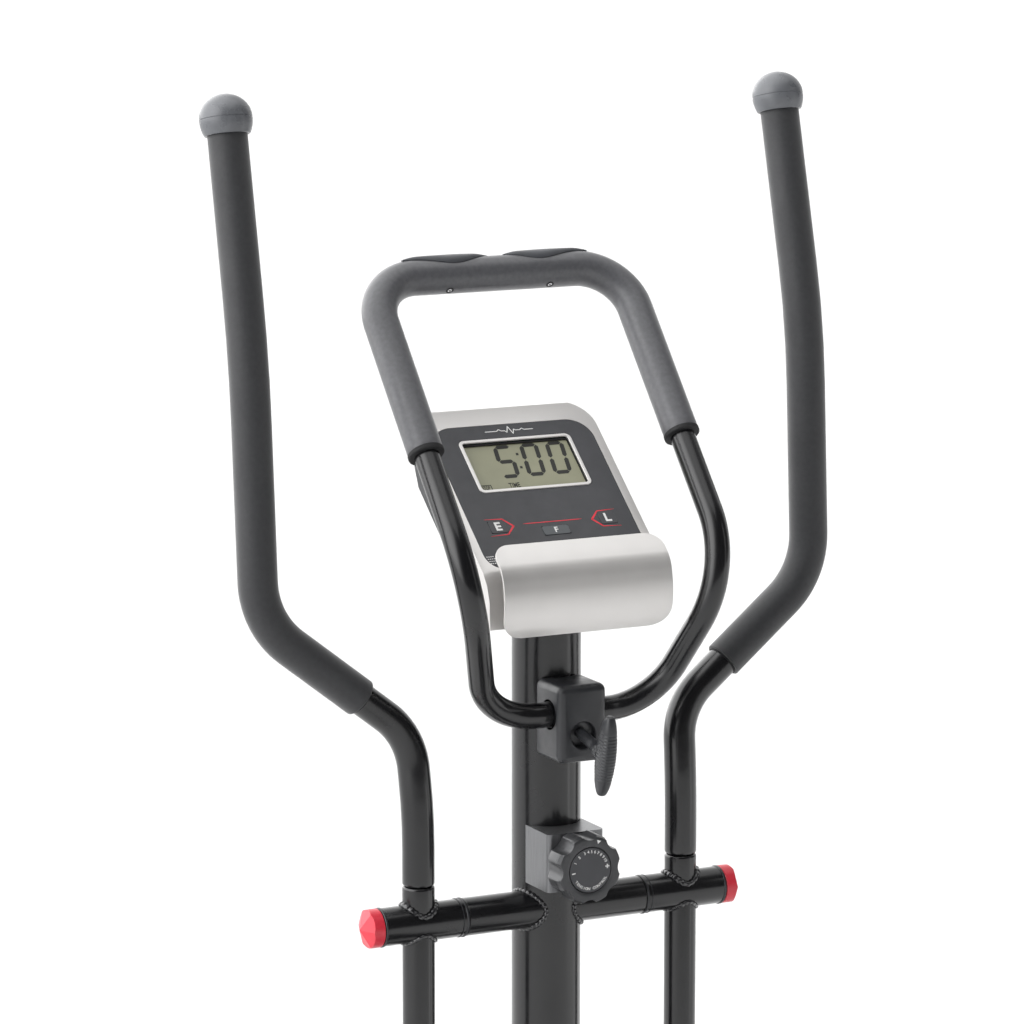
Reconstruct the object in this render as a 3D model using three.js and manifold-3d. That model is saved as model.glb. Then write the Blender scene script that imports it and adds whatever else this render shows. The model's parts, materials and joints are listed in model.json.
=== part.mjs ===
// Elliptical trainer (cross trainer) with swing arms, a fixed sensor bar and a console.
// Millimetres. +X is the user's right, +Y the way the user faces, +Z up, floor at Z = 0.
import * as THREE from 'three';
import { mergeVertices } from 'three/addons/utils/BufferGeometryUtils.js';
import Module from 'manifold-3d';

const wasm = await Module();
wasm.setup();

// ---------------------------------------------------------------- driving dimensions
const GAP = 0.3;                 // between touching pieces
const RUN = 0.1;                 // radial clearance of a running fit
const POST = { y: 330, r: 30, bore: 27.4 };
const AXLE = { z: 825, y: -10, r: 16.5, half: 86, shaft: 10, sleeve: 165.5 };
const ARM = { x: 127.5, r: 14, bore: 12, spigot: 10.5, seam: 33, pivotZ: 300, sleeveR: 16.5 };
const CRANK = { y: -290, z: 300, throw: 140, axle: 8.5, inner: 58, outer: 74.6 };
const PULLEY = { r: 112, x0: 16, x1: 26 };
const FLY = { y: -70, z: 285, r: 115, x0: -34, x1: -8, small: 16, axle: 5 };
const BEAM = { half: 20, z0: 58, z1: 118, wall: 2.5, behind: 25, ahead: 29 };
const STAB = { r: 25, z: 40, half: 210, foot: 42, footEnd: 250, front: 501, rear: -533 };
const WHEEL = { r: 30, half: 11, ahead: 44, z: 33, x: 226, pin: 5 };
const HOUSING = { half: 50, wall: 3, r: 150, base: 96, y0: -380, y1: 20 };
const PLATE = { x0: 77, x1: 207, y0: -125, y1: 205, thick: 12, rim: 34, seat: 20, share: 0.42 };
const PEDAL = { r: 16, front: 14.5, rear: 17, bolt: 6, pin: 8, x0: 82, x1: 152 };
const GRIP = { wall: 3, cap: 8.5 };
const UBAR = { r: 11, bore: 9.2, foam: 15.5, y: -50, z: 180 };
const CLAMP = { half: 23, y0: -70, y1: -22, z0: 139.5, z1: 207, tilt: 13 };
const WING = { y: -111, z: 154, long: 73, wide: 21, thick: 15, stem: 5 };
const BOX = { half: 27, y0: -57, y1: -14, z0: 25, z1: 76 };
const KNOB = { z: 48.5, y0: -84, y1: -57.4, r: 31.7, flutes: 8, dial: 19.6 };
const CONSOLE = { z: 348.5, slope: 39.6, half: 85, top: 121, seam: -18, floor: -44, lip: 80 };
const FACE = { half: 77, s0: -62, s1: 99, depth: 1.4 };
const LCD = { half: 51.8, s0: 24.5, s1: 83.3 };
const KEYS = {
  button_e: { x: -52.5, s: -15.7, w: 15, h: 12.5 },
  button_f: { x: 0, s: -24.3, w: 24.5, h: 9.4 },
  button_l: { x: 52.5, s: -15.7, w: 15, h: 12.5 },
};

// ---------------------------------------------------------------- materials
function material(color, roughness, metalness = 0) {
  return new THREE.MeshStandardMaterial({ color, roughness, metalness });
}
const black = material(0x17181a, 0.3, 0.4);
const satin = material(0x242527, 0.5);
const foam = material(0x55575a, 0.9);
const ball = material(0x5c5f63, 0.55);
const silver = material(0xc4c2bf, 0.35, 0.4);
const slate = material(0x4c4d51, 0.5);
const lcd = material(0x9a9a7e, 0.2);
const red = material(0xc4202c, 0.45);
const steel = material(0x8d9094, 0.35, 0.9);
const iron = material(0x3b3d40, 0.6, 0.7);
const rubber = material(0x1b1b1c, 0.85);
const board = material(0x1f5a3a, 0.6);

// ---------------------------------------------------------------- solids
function solid(geometry, matrix) {
  const g = geometry.clone();
  g.deleteAttribute('normal');
  g.deleteAttribute('uv');
  if (matrix) g.applyMatrix4(matrix);
  const merged = mergeVertices(g, 1e-4);
  const index = merged.index.array;
  const kept = [];
  for (let i = 0; i < index.length; i += 3) {
    const [a, b, c] = [index[i], index[i + 1], index[i + 2]];
    if (a !== b && b !== c && a !== c) kept.push(a, b, c);
  }
  return new wasm.Manifold(new wasm.Mesh({
    numProp: 3,
    vertProperties: new Float32Array(merged.attributes.position.array),
    triVerts: new Uint32Array(kept),
  }));
}

function join(first, ...rest) {
  return rest.reduce((a, b) => a.add(b), first);
}

function cut(first, ...rest) {
  return rest.reduce((a, b) => a.subtract(b), first);
}

function box(x0, x1, y0, y1, z0, z1) {
  const g = new THREE.BoxGeometry(x1 - x0, y1 - y0, z1 - z0);
  g.translate((x0 + x1) / 2, (y0 + y1) / 2, (z0 + z1) / 2);
  return solid(g);
}

// A bore's corner radius: its flats still clear a round shaft of radius r.
function boreRadius(r, clearance, sides) {
  return (r + clearance) / Math.cos(Math.PI / sides);
}

// Round bar between two points.
function bar(from, to, r, sides = 16, r2 = r) {
  const a = new THREE.Vector3(...from);
  const b = new THREE.Vector3(...to);
  const g = new THREE.CylinderGeometry(r2, r, a.distanceTo(b), sides);
  const turn = new THREE.Quaternion().setFromUnitVectors(
    new THREE.Vector3(0, 1, 0), b.clone().sub(a).normalize());
  const m = new THREE.Matrix4().compose(
    a.clone().add(b).multiplyScalar(0.5), turn, new THREE.Vector3(1, 1, 1));
  return solid(g, m);
}

function barX(x0, x1, y, z, r, sides = 16) {
  return bar([x0, y, z], [x1, y, z], r, sides);
}

function outline(points) {
  return new THREE.Shape(points.map(([u, v]) => new THREE.Vector2(u, v)));
}

function roundedRect(u0, u1, v0, v1, radii) {
  const [bl, br, tr, tl] = radii;
  const s = new THREE.Shape();
  s.moveTo(u0 + bl, v0);
  s.lineTo(u1 - br, v0);
  if (br) s.absarc(u1 - br, v0 + br, br, -Math.PI / 2, 0);
  s.lineTo(u1, v1 - tr);
  if (tr) s.absarc(u1 - tr, v1 - tr, tr, 0, Math.PI / 2);
  s.lineTo(u0 + tl, v1);
  if (tl) s.absarc(u0 + tl, v1 - tl, tl, Math.PI / 2, Math.PI);
  s.lineTo(u0, v0 + bl);
  if (bl) s.absarc(u0 + bl, v0 + bl, bl, Math.PI, Math.PI * 1.5);
  return s;
}

// Extrusions of a shape drawn in (Y, Z) along X, in (X, Z) along Y, or in (X, Y) along Z.
function plate(shape, from, to, axis, curveSegments = 6, bevel = 0) {
  const g = new THREE.ExtrudeGeometry(shape, {
    depth: to - from - 2 * bevel, curveSegments, bevelEnabled: bevel > 0,
    bevelThickness: bevel, bevelSize: bevel, bevelOffset: -bevel, bevelSegments: 1,
  });
  g.translate(0, 0, from + bevel);
  const m = new THREE.Matrix4();
  if (axis === 'x') m.set(0, 0, 1, 0, 1, 0, 0, 0, 0, 1, 0, 0, 0, 0, 0, 1);
  if (axis === 'y') {
    g.scale(1, 1, -1);
    g.index = null;
    const p = g.attributes.position;
    for (let i = 0; i < p.count; i += 3) {
      const [x, y, z] = [p.getX(i), p.getY(i), p.getZ(i)];
      p.setXYZ(i, p.getX(i + 1), p.getY(i + 1), p.getZ(i + 1));
      p.setXYZ(i + 1, x, y, z);
    }
    m.set(1, 0, 0, 0, 0, 0, -1, 0, 0, 1, 0, 0, 0, 0, 0, 1);
  }
  return solid(g, m);
}

// A route through given stations, so that an extrusion has one ring at each of them.
class Route extends THREE.Curve {
  constructor(stations) {
    super();
    this.stations = stations;
  }

  getSpacedPoints() {
    return this.stations;
  }

  getTangentAt(u, target = new THREE.Vector3()) {
    const last = this.stations.length - 1;
    const i = Math.round(u * last);
    const a = this.stations[Math.max(i - 1, 0)];
    const b = this.stations[i];
    const c = this.stations[Math.min(i + 1, last)];
    const before = b.clone().sub(i ? a : b).normalize();
    const after = c.clone().sub(b).normalize();
    return target.copy(before.add(after)).normalize();
  }
}

// Corners rounded to given radii, as points along the line.
function rounded(corners, radii, step = 0.45) {
  const points = [new THREE.Vector3(...corners[0])];
  for (let i = 1; i < corners.length - 1; i += 1) {
    const p = new THREE.Vector3(...corners[i]);
    const a = new THREE.Vector3(...corners[i - 1]).sub(p);
    const b = new THREE.Vector3(...corners[i + 1]).sub(p);
    const inner = a.angleTo(b);
    const t = radii[i - 1] / Math.tan(inner / 2);
    a.normalize();
    b.normalize();
    const centre = p.clone().add(a.clone().add(b).normalize()
      .multiplyScalar(radii[i - 1] / Math.sin(inner / 2)));
    const start = p.clone().addScaledVector(a, t).sub(centre);
    const axis = start.clone().cross(p.clone().addScaledVector(b, t).sub(centre)).normalize();
    const sweep = Math.PI - inner;
    const n = Math.max(2, Math.ceil(sweep / step));
    for (let k = 0; k <= n; k += 1) {
      points.push(start.clone().applyAxisAngle(axis, (sweep * k) / n).add(centre));
    }
  }
  points.push(new THREE.Vector3(...corners[corners.length - 1]));
  return points;
}

// The part of a route between two distances along it.
function stretch(points, from, to) {
  const out = [];
  let run = 0;
  for (let i = 0; i < points.length - 1; i += 1) {
    const d = points[i].distanceTo(points[i + 1]);
    const at = (s) => points[i].clone().lerp(points[i + 1], (s - run) / d);
    if (from >= run && from < run + d) out.push(at(from));
    if (run + d > from + 1 && run + d < to - 1) out.push(points[i + 1].clone());
    if (to > run && to <= run + d) out.push(at(to));
    run += d;
  }
  return out;
}

function lengthOf(points) {
  return points.slice(1).reduce((sum, p, i) => sum + p.distanceTo(points[i]), 0);
}

function sweep(points, r, sides) {
  const ring = [];
  for (let k = 0; k < sides; k += 1) {
    const a = (2 * Math.PI * k) / sides;
    ring.push([r * Math.cos(a), r * Math.sin(a)]);
  }
  return solid(new THREE.ExtrudeGeometry(outline(ring), {
    steps: points.length - 1, extrudePath: new Route(points),
  }));
}

// The same route with both ends run on, for a cutter that has to come out of a tube.
function overrun(points, by) {
  const out = points.map((p) => p.clone());
  const n = out.length;
  out[0].addScaledVector(points[0].clone().sub(points[1]).normalize(), by);
  out[n - 1].addScaledVector(points[n - 1].clone().sub(points[n - 2]).normalize(), by);
  return out;
}

function pipe(points, r, bore, past = 2) {
  return sweep(points, r, 10).subtract(sweep(overrun(points, past), bore, 8));
}

function lathe(profile, matrix, sides = 24) {
  const points = profile.map(([r, h]) => new THREE.Vector2(r, h));
  return solid(new THREE.LatheGeometry(points, sides), matrix);
}

function placed(direction, at) {
  const turn = new THREE.Quaternion().setFromUnitVectors(
    new THREE.Vector3(0, 1, 0), new THREE.Vector3(...direction).normalize());
  return new THREE.Matrix4().compose(
    new THREE.Vector3(...at), turn, new THREE.Vector3(1, 1, 1));
}

// ---------------------------------------------------------------- scene graph
const trainer = new THREE.Group();
const head = new THREE.Group();
head.position.set(0, POST.y, AXLE.z);
trainer.add(head);
const console_ = new THREE.Group();
console_.position.set(0, 0, CONSOLE.z);
console_.rotation.x = THREE.MathUtils.degToRad(CONSOLE.slope);
head.add(console_);

function add(group, name, shape, mat) {
  const { vertProperties, triVerts } = shape.getMesh();
  const g = new THREE.BufferGeometry();
  g.setAttribute('position', new THREE.BufferAttribute(new Float32Array(vertProperties), 3));
  g.setIndex(new THREE.BufferAttribute(new Uint32Array(triVerts), 1));
  g.computeVertexNormals();
  const mesh = new THREE.Mesh(g, mat);
  mesh.name = name;
  group.add(mesh);
}

// A shape for both sides: made for side +1 or -1 along X.
function bothSides(make) {
  make(1, 'right');
  make(-1, 'left');
}

function spanX(side, a, b) {
  return side > 0 ? [a, b] : [-b, -a];
}

// ---------------------------------------------------------------- floor frame
const beamIn = BEAM.half - BEAM.wall;
const beamRear = STAB.rear - BEAM.behind;
const beamFront = STAB.front + BEAM.ahead;
const wheelY = STAB.front + WHEEL.ahead;
const cablePoint = { up: POST.y + 14, rear: -2, z: 92, x: -21 };
let beam = cut(
  box(-BEAM.half, BEAM.half, beamRear, beamFront, BEAM.z0, BEAM.z1),
  box(-beamIn, beamIn, beamRear - 1, beamFront + 1, BEAM.z0 + BEAM.wall, BEAM.z1 - BEAM.wall),
);
const socket = { r: POST.r + 5, top: 250 };
beam = join(beam, bar([0, POST.y, BEAM.z1 - 1], [0, POST.y, socket.top], socket.r, 24));
beam = cut(beam,
  bar([0, POST.y, BEAM.z1], [0, POST.y, socket.top + 1], boreRadius(POST.r, GAP, 24), 24),
  bar([0, cablePoint.up, BEAM.z0 + 20], [0, cablePoint.up, BEAM.z1 + 1], 7, 12),
  bar([0, cablePoint.rear, BEAM.z0 + 20], [0, cablePoint.rear, BEAM.z1 + 1], 7, 12));
for (const y of [STAB.front, STAB.rear]) {
  beam = cut(beam, barX(-60, 60, y, STAB.z, boreRadius(STAB.r, GAP, 24), 24));
}
add(trainer, 'main_beam', beam, black);

for (const [name, y] of [['front_stabilizer', STAB.front], ['rear_stabilizer', STAB.rear]]) {
  const tube = barX(-STAB.half, STAB.half, y, STAB.z, STAB.r, 24)
    .subtract(barX(-STAB.half - 1, STAB.half + 1, y, STAB.z, STAB.r - 2.5, 24));
  add(trainer, name, tube, black);
}

// Foot caps with a flat base; the front ones carry a wheel in a fork.
function foot(side, y) {
  const [x0, x1] = spanX(side, STAB.half - 40, STAB.footEnd);
  const body = barX(x0, x1, y, STAB.z, STAB.foot, 28)
    .intersect(box(x0 - 1, x1 + 1, y - 60, y + 60, 0, 100));
  const [s0, s1] = spanX(side, STAB.half - 41, STAB.half + GAP);
  return cut(body, barX(s0, s1, y, STAB.z, boreRadius(STAB.r, GAP, 24), 24));
}

bothSides((side, word) => {
  const cx = side * WHEEL.x;
  const slot = WHEEL.half + 1;
  const arm = join(foot(side, STAB.front),
    box(cx - 19, cx + 19, STAB.front + 28, wheelY, WHEEL.z - 13, WHEEL.z + 13),
    barX(cx - 19, cx + 19, wheelY, WHEEL.z, 13, 16));
  const well = barX(cx - slot, cx + slot, wheelY, WHEEL.z, WHEEL.r + 2.5, 20);
  add(trainer, `front_foot_${word}`,
    join(cut(arm, well), barX(cx - 15, cx + 15, wheelY, WHEEL.z, WHEEL.pin, 16)), satin);
  add(trainer, `rear_foot_${word}`, foot(side, STAB.rear), satin);
  const tread = lathe([
    [0, -WHEEL.half], [WHEEL.r - 4, -WHEEL.half], [WHEEL.r, -WHEEL.half + 4],
    [WHEEL.r, WHEEL.half - 4], [WHEEL.r - 4, WHEEL.half], [0, WHEEL.half],
  ], placed([1, 0, 0], [cx, wheelY, WHEEL.z]), 20);
  add(trainer, `wheel_${word}`, cut(tread,
    barX(cx - 20, cx + 20, wheelY, WHEEL.z, boreRadius(WHEEL.pin, RUN, 16), 16)), rubber);
});

// ---------------------------------------------------------------- drive, inside the housing
const cheek = { x0: 39, x1: 42 };
const floorPlate = box(-cheek.x1, cheek.x1, CRANK.y - 45, FLY.y + 45,
  BEAM.z1 + GAP, BEAM.z1 + 4.3);
const leftCheek = plate(outline([
  [FLY.y - 42, BEAM.z1 + 2], [FLY.y + 42, BEAM.z1 + 2], [FLY.y + 50, 230], [66, 322],
  [60, 342], [46, 342], [FLY.y + 20, 302], [FLY.y - 18, 302],
]), -cheek.x1, -cheek.x0, 'x');
const rightCheek = plate(outline([
  [FLY.y - 42, BEAM.z1 + 2], [FLY.y + 42, BEAM.z1 + 2], [FLY.y + 18, 302], [FLY.y - 18, 302],
]), cheek.x0, cheek.x1, 'x');
const magnetPivot = { y: 56, z: 332, r: 4 };
const bracket = cut(
  join(floorPlate, leftCheek, rightCheek,
    box(-30, 8, CRANK.y - 14, CRANK.y + 14, BEAM.z1 + 2, CRANK.z - 12),
    barX(-36, 12, CRANK.y, CRANK.z, 20, 24),
    barX(-45, 45, FLY.y, FLY.z, FLY.axle, 16),
    barX(-40, -8, magnetPivot.y, magnetPivot.z, magnetPivot.r, 16)),
  barX(-37, 13, CRANK.y, CRANK.z, boreRadius(CRANK.axle, RUN, 24), 24));
add(trainer, 'drive_bracket', bracket, iron);

add(trainer, 'crank_axle', barX(-CRANK.outer + 2, CRANK.outer - 2, CRANK.y, CRANK.z,
  CRANK.axle, 24), steel);
const sheaveBore = boreRadius(CRANK.axle, GAP, 24);
const sheave = cut(
  join(barX(PULLEY.x0, PULLEY.x1, CRANK.y, CRANK.z, PULLEY.r, 32),
    barX(PULLEY.x0 - 3, PULLEY.x1 + 6, CRANK.y, CRANK.z, 22, 24)),
  barX(PULLEY.x0 - 4, PULLEY.x1 + 7, CRANK.y, CRANK.z, sheaveBore, 24));
const sheaveHoles = [];
for (let k = 0; k < 5; k += 1) {
  const a = (k * Math.PI) / 2.5;
  sheaveHoles.push(barX(PULLEY.x0 - 1, PULLEY.x1 + 1,
    CRANK.y + 66 * Math.cos(a), CRANK.z + 66 * Math.sin(a), 20, 8));
}
add(trainer, 'drive_pulley', cut(sheave, ...sheaveHoles), satin);

bothSides((side, word) => {
  const [x0, x1] = spanX(side, CRANK.inner, CRANK.outer);
  const tipZ = CRANK.z - side * CRANK.throw;
  const arm = join(
    barX(x0, x1, CRANK.y, CRANK.z, 19, 20),
    barX(x0, x1, CRANK.y, tipZ, 16, 20),
    plate(outline(side > 0
      ? [[CRANK.y - 14, tipZ], [CRANK.y + 14, tipZ], [CRANK.y + 17, CRANK.z], [CRANK.y - 17, CRANK.z]]
      : [[CRANK.y - 17, CRANK.z], [CRANK.y + 17, CRANK.z], [CRANK.y + 14, tipZ], [CRANK.y - 14, tipZ]]),
    x0, x1, 'x'));
  add(trainer, `crank_arm_${word}`,
    cut(arm, barX(x0 - 1, x1 + 1, CRANK.y, CRANK.z, sheaveBore, 24)), steel);
});

const rim = cut(
  barX(FLY.x0, FLY.x1, FLY.y, FLY.z, FLY.r, 32),
  barX(FLY.x0 - 1, FLY.x0 + 9, FLY.y, FLY.z, FLY.r - 20, 24),
  barX(FLY.x1 - 9, FLY.x1 + 1, FLY.y, FLY.z, FLY.r - 20, 24));
const flywheel = cut(
  join(rim, barX(FLY.x0 - 2, PULLEY.x1, FLY.y, FLY.z, FLY.small, 24)),
  barX(FLY.x0 - 3, PULLEY.x1 + 1, FLY.y, FLY.z, boreRadius(FLY.axle, RUN, 16), 16));
add(trainer, 'flywheel', flywheel, iron);

// The belt runs round both pulleys on their common tangents.
function beltLoop(r1, r2) {
  const dy = FLY.y - CRANK.y;
  const dz = FLY.z - CRANK.z;
  const lean = Math.atan2(dz, dy);
  const open = Math.acos((r1 - r2) / Math.hypot(dy, dz));
  const points = [];
  for (let k = 0; k <= 24; k += 1) {
    const a = lean + open + ((2 * Math.PI - 2 * open) * k) / 24;
    points.push([CRANK.y + r1 * Math.cos(a), CRANK.z + r1 * Math.sin(a)]);
  }
  for (let k = 0; k <= 7; k += 1) {
    const a = lean - open + (2 * open * k) / 7;
    points.push([FLY.y + r2 * Math.cos(a), FLY.z + r2 * Math.sin(a)]);
  }
  return outline(points);
}
const beltSlack = 1;
add(trainer, 'belt', cut(
  plate(beltLoop(PULLEY.r + 3.6, FLY.small + 3.6), PULLEY.x0 + 0.5, PULLEY.x1 - 0.5, 'x'),
  plate(beltLoop(PULLEY.r + beltSlack, FLY.small + beltSlack), PULLEY.x0, PULLEY.x1, 'x')), rubber);

// Magnet bracket: an arc over the flywheel's front, hinged in front of it.
const magnet = { r0: FLY.r + 4, r1: FLY.r + 13, from: 19, to: 98 };
const arc = [];
for (const [r, forward] of [[magnet.r0, true], [magnet.r1, false]]) {
  for (let k = 0; k <= 10; k += 1) {
    const share = forward ? k / 10 : 1 - k / 10;
    const a = THREE.MathUtils.degToRad(magnet.from + (magnet.to - magnet.from) * share);
    arc.push([FLY.y + r * Math.cos(a), FLY.z + r * Math.sin(a)]);
  }
}
add(trainer, 'magnet_bracket', cut(
  join(plate(outline(arc.reverse()), -30, -12, 'x'),
    barX(-30, -12, magnetPivot.y, magnetPivot.z, 9, 16),
    box(-24, -18, magnetPivot.y, magnetPivot.y + 13, magnetPivot.z - 12, magnetPivot.z)),
  barX(-31, -11, magnetPivot.y, magnetPivot.z, boreRadius(magnetPivot.r, RUN, 16), 16)), steel);

// ---------------------------------------------------------------- housing, two shells
function housingOutline(inset) {
  const r = HOUSING.r - inset;
  const base = HOUSING.base + inset;
  const points = [[HOUSING.y1 - inset, base]];
  for (let k = 0; k <= 12; k += 1) {
    const a = THREE.MathUtils.degToRad(-52 + (140 * k) / 12);
    points.push([FLY.y + r * Math.cos(a), FLY.z + r * Math.sin(a)]);
  }
  for (let k = 0; k <= 12; k += 1) {
    const a = THREE.MathUtils.degToRad(88 + (140 * k) / 12);
    points.push([CRANK.y + r * Math.cos(a), CRANK.z + r * Math.sin(a)]);
  }
  points.push([HOUSING.y0 + inset, base]);
  return outline(points);
}

bothSides((side, word) => {
  const [x0, x1] = spanX(side, 0.15, HOUSING.half);
  const [i0, i1] = side > 0 ? [x0 - 1, x1 - HOUSING.wall] : [x0 + HOUSING.wall, x1 + 1];
  const outer = plate(housingOutline(0), -HOUSING.half, HOUSING.half, 'x')
    .intersect(box(x0, x1, -600, 600, 0, 700));
  const shell = cut(outer,
    plate(housingOutline(HOUSING.wall), i0, i1, 'x'),
    box(-BEAM.half - GAP, BEAM.half + GAP, -600, 600, 0, BEAM.z1 + GAP),
    barX(x0 - 1, x1 + 1, CRANK.y, CRANK.z, 13, 24));
  add(trainer, `housing_${word}`, shell, satin);
});

// ---------------------------------------------------------------- post, axle and tension box
const postFoot = BEAM.z1 + GAP - AXLE.z;
const tiltUp = new THREE.Matrix4().makeRotationX(THREE.MathUtils.degToRad(CONSOLE.slope))
  .setPosition(0, 0, CONSOLE.z);
const underConsole = new THREE.BoxGeometry(400, 4000, 3000)
  .translate(0, 0, CONSOLE.floor - GAP - 1500);
const column = cut(
  bar([0, 0, postFoot], [0, 0, 340], POST.r, 24),
  bar([0, 0, postFoot - 1], [0, 0, 341], POST.bore, 16),
  barX(-60, 60, AXLE.y, 0, boreRadius(AXLE.r, GAP, 24), 24),
  bar([0, -60, 52], [0, -10, 52], 5, 12));
const clipped = column.intersect(solid(underConsole, tiltUp));
add(head, 'upper_post', clipped, black);

const shaftRoom = boreRadius(AXLE.shaft, GAP, 24);
add(head, 'axle_tube', barX(-AXLE.half, AXLE.half, AXLE.y, 0, AXLE.r, 24)
  .subtract(barX(-AXLE.half - 1, AXLE.half + 1, AXLE.y, 0, shaftRoom, 24)), black);
add(head, 'pivot_shaft', join(
  barX(-AXLE.sleeve - 3, AXLE.sleeve + 3, AXLE.y, 0, AXLE.shaft, 24),
  barX(-AXLE.sleeve - 3, -AXLE.sleeve - GAP, AXLE.y, 0, 13, 16),
  barX(AXLE.sleeve + GAP, AXLE.sleeve + 3, AXLE.y, 0, 13, 16)), steel);

const boxOutline = roundedRect(-BOX.half, BOX.half, BOX.y0, BOX.y1, [4, 4, 0, 0]);
add(head, 'tension_housing', cut(
  plate(boxOutline, BOX.z0, BOX.z1, 'z', 3),
  bar([0, 0, BOX.z0 - 1], [0, 0, BOX.z1 + 1], boreRadius(POST.r, GAP, 24), 24),
  box(-BOX.half + 3, BOX.half - 3, BOX.y0 + 3, 0, BOX.z0 + 3, BOX.z1 - 3)), satin);

function knobOutline() {
  const points = [];
  const n = KNOB.flutes * 6;
  for (let k = 0; k < n; k += 1) {
    const a = (2 * Math.PI * k) / n;
    const wave = Math.pow(Math.abs(Math.cos((KNOB.flutes * a) / 2)), 6);
    points.push([(KNOB.r - 3 * wave) * Math.cos(a), (KNOB.r - 3 * wave) * Math.sin(a) + KNOB.z]);
  }
  return outline(points);
}
const spindle = { r: 5, room: boreRadius(5, RUN, 16) };
add(head, 'tension_knob', cut(
  plate(knobOutline(), KNOB.y0, KNOB.y1, 'y'),
  bar([0, KNOB.y0 - 1, KNOB.z], [0, KNOB.y0 + 3.4, KNOB.z], boreRadius(KNOB.dial, RUN * 2, 32), 32),
  bar([0, KNOB.y0, KNOB.z], [0, KNOB.y1 + 1, KNOB.z], spindle.room, 16)), satin);
add(head, 'dial_plate', join(
  bar([0, KNOB.y0 + 0.2, KNOB.z], [0, KNOB.y0 + 3.1, KNOB.z], KNOB.dial, 32),
  bar([0, KNOB.y0 + 2, KNOB.z], [0, BOX.y0 - 0.1, KNOB.z], spindle.r, 16)), slate);

// Cable from the tension box down the post, along the beam and up to the magnet bracket.
const cableEnd = { y: magnetPivot.y + 6.5 - POST.y, z: magnetPivot.z - 12.4 - AXLE.z };
const cable = rounded([
  [0, -25, 52], [0, 14, 52], [0, 14, cablePoint.z - AXLE.z],
  [0, cablePoint.rear - POST.y, cablePoint.z - AXLE.z],
  [0, cablePoint.rear - POST.y, 150 - AXLE.z],
  [-10, 36 - POST.y, 205 - AXLE.z],
  [cablePoint.x, cableEnd.y, 250 - AXLE.z], [cablePoint.x, cableEnd.y, cableEnd.z],
], [16, 16, 16, 20, 20, 20], 0.7);
add(head, 'tension_cable', sweep(cable, 2.5, 8), rubber);

// ---------------------------------------------------------------- sensor bar and its clamp
const ubarHalf = [
  [0.4, UBAR.y, UBAR.z], [32, UBAR.y, UBAR.z], [80, -42, 179], [122.3, -107.5, 304],
  [122.3, 100, 541], [0, 100, 541],
];
const mirrored = ubarHalf.slice(0, -1).reverse().map(([x, y, z]) => [-x, y, z]);
const ubarRoute = rounded([...ubarHalf.slice(0, -1), ...mirrored], [30, 54, 85, 45, 45, 85, 54, 30]);
add(head, 'ubar_tube', pipe(ubarRoute, UBAR.r, UBAR.bore, GAP), black);
const ubarLength = lengthOf(ubarRoute);
const foamFrom = 336;
const foamRoute = stretch(ubarRoute, foamFrom, ubarLength - foamFrom);
add(head, 'ubar_foam', pipe(foamRoute, UBAR.foam, boreRadius(UBAR.r, GAP, 8)), foam);

bothSides((side, word) => {
  const [x0, x1] = spanX(side, 8, 89);
  const pad = barX(x0, x1, 100, 541, UBAR.foam + 3.5, 24)
    .intersect(box(x0 - 1, x1 + 1, 60, 140, 546, 600));
  add(head, `pulse_pad_${word}`,
    cut(pad, barX(x0 - 1, x1 + 1, 100, 541, boreRadius(UBAR.foam, 3 * GAP, 12), 12)), satin);
});

const screwTilt = THREE.MathUtils.degToRad(CLAMP.tilt);
const screwLine = [0, Math.cos(screwTilt), Math.sin(screwTilt)];
function alongScrew(d) {
  return [0, WING.y + d * screwLine[1], WING.z + d * screwLine[2]];
}
add(head, 'clamp_block', cut(
  plate(roundedRect(-CLAMP.half, CLAMP.half, CLAMP.y0, CLAMP.y1, [8, 8, 5, 5]),
    CLAMP.z0, CLAMP.z1, 'z', 3, 3),
  bar([0, 0, CLAMP.z0 - 1], [0, 0, CLAMP.z1 + 1], boreRadius(POST.r, GAP, 24), 24),
  barX(-60, 60, UBAR.y, UBAR.z, boreRadius(UBAR.r, 2 * RUN, 12), 12),
  bar(alongScrew(20), alongScrew(53), boreRadius(WING.stem, RUN, 16), 16)), satin);

const wing = [];
for (let k = 0; k < 20; k += 1) {
  const a = (2 * Math.PI * k) / 20;
  const flat = Math.sign(Math.sin(a)) * Math.pow(Math.abs(Math.sin(a)), 0.85);
  wing.push([(WING.wide / 2) * Math.cos(a), (WING.long / 2) * flat]);
}
const wingBody = plate(outline(wing), -WING.thick / 2, WING.thick / 2, 'x', 6, 2);
const wingTurn = new THREE.Matrix4().makeRotationX(screwTilt).setPosition(0, WING.y, WING.z);
add(head, 'tee_screw', join(
  wingBody.transform(wingTurn.elements),
  bar(alongScrew(4), alongScrew(50), WING.stem, 16),
  bar(alongScrew(6), alongScrew(24), 7, 16)), satin);

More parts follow.
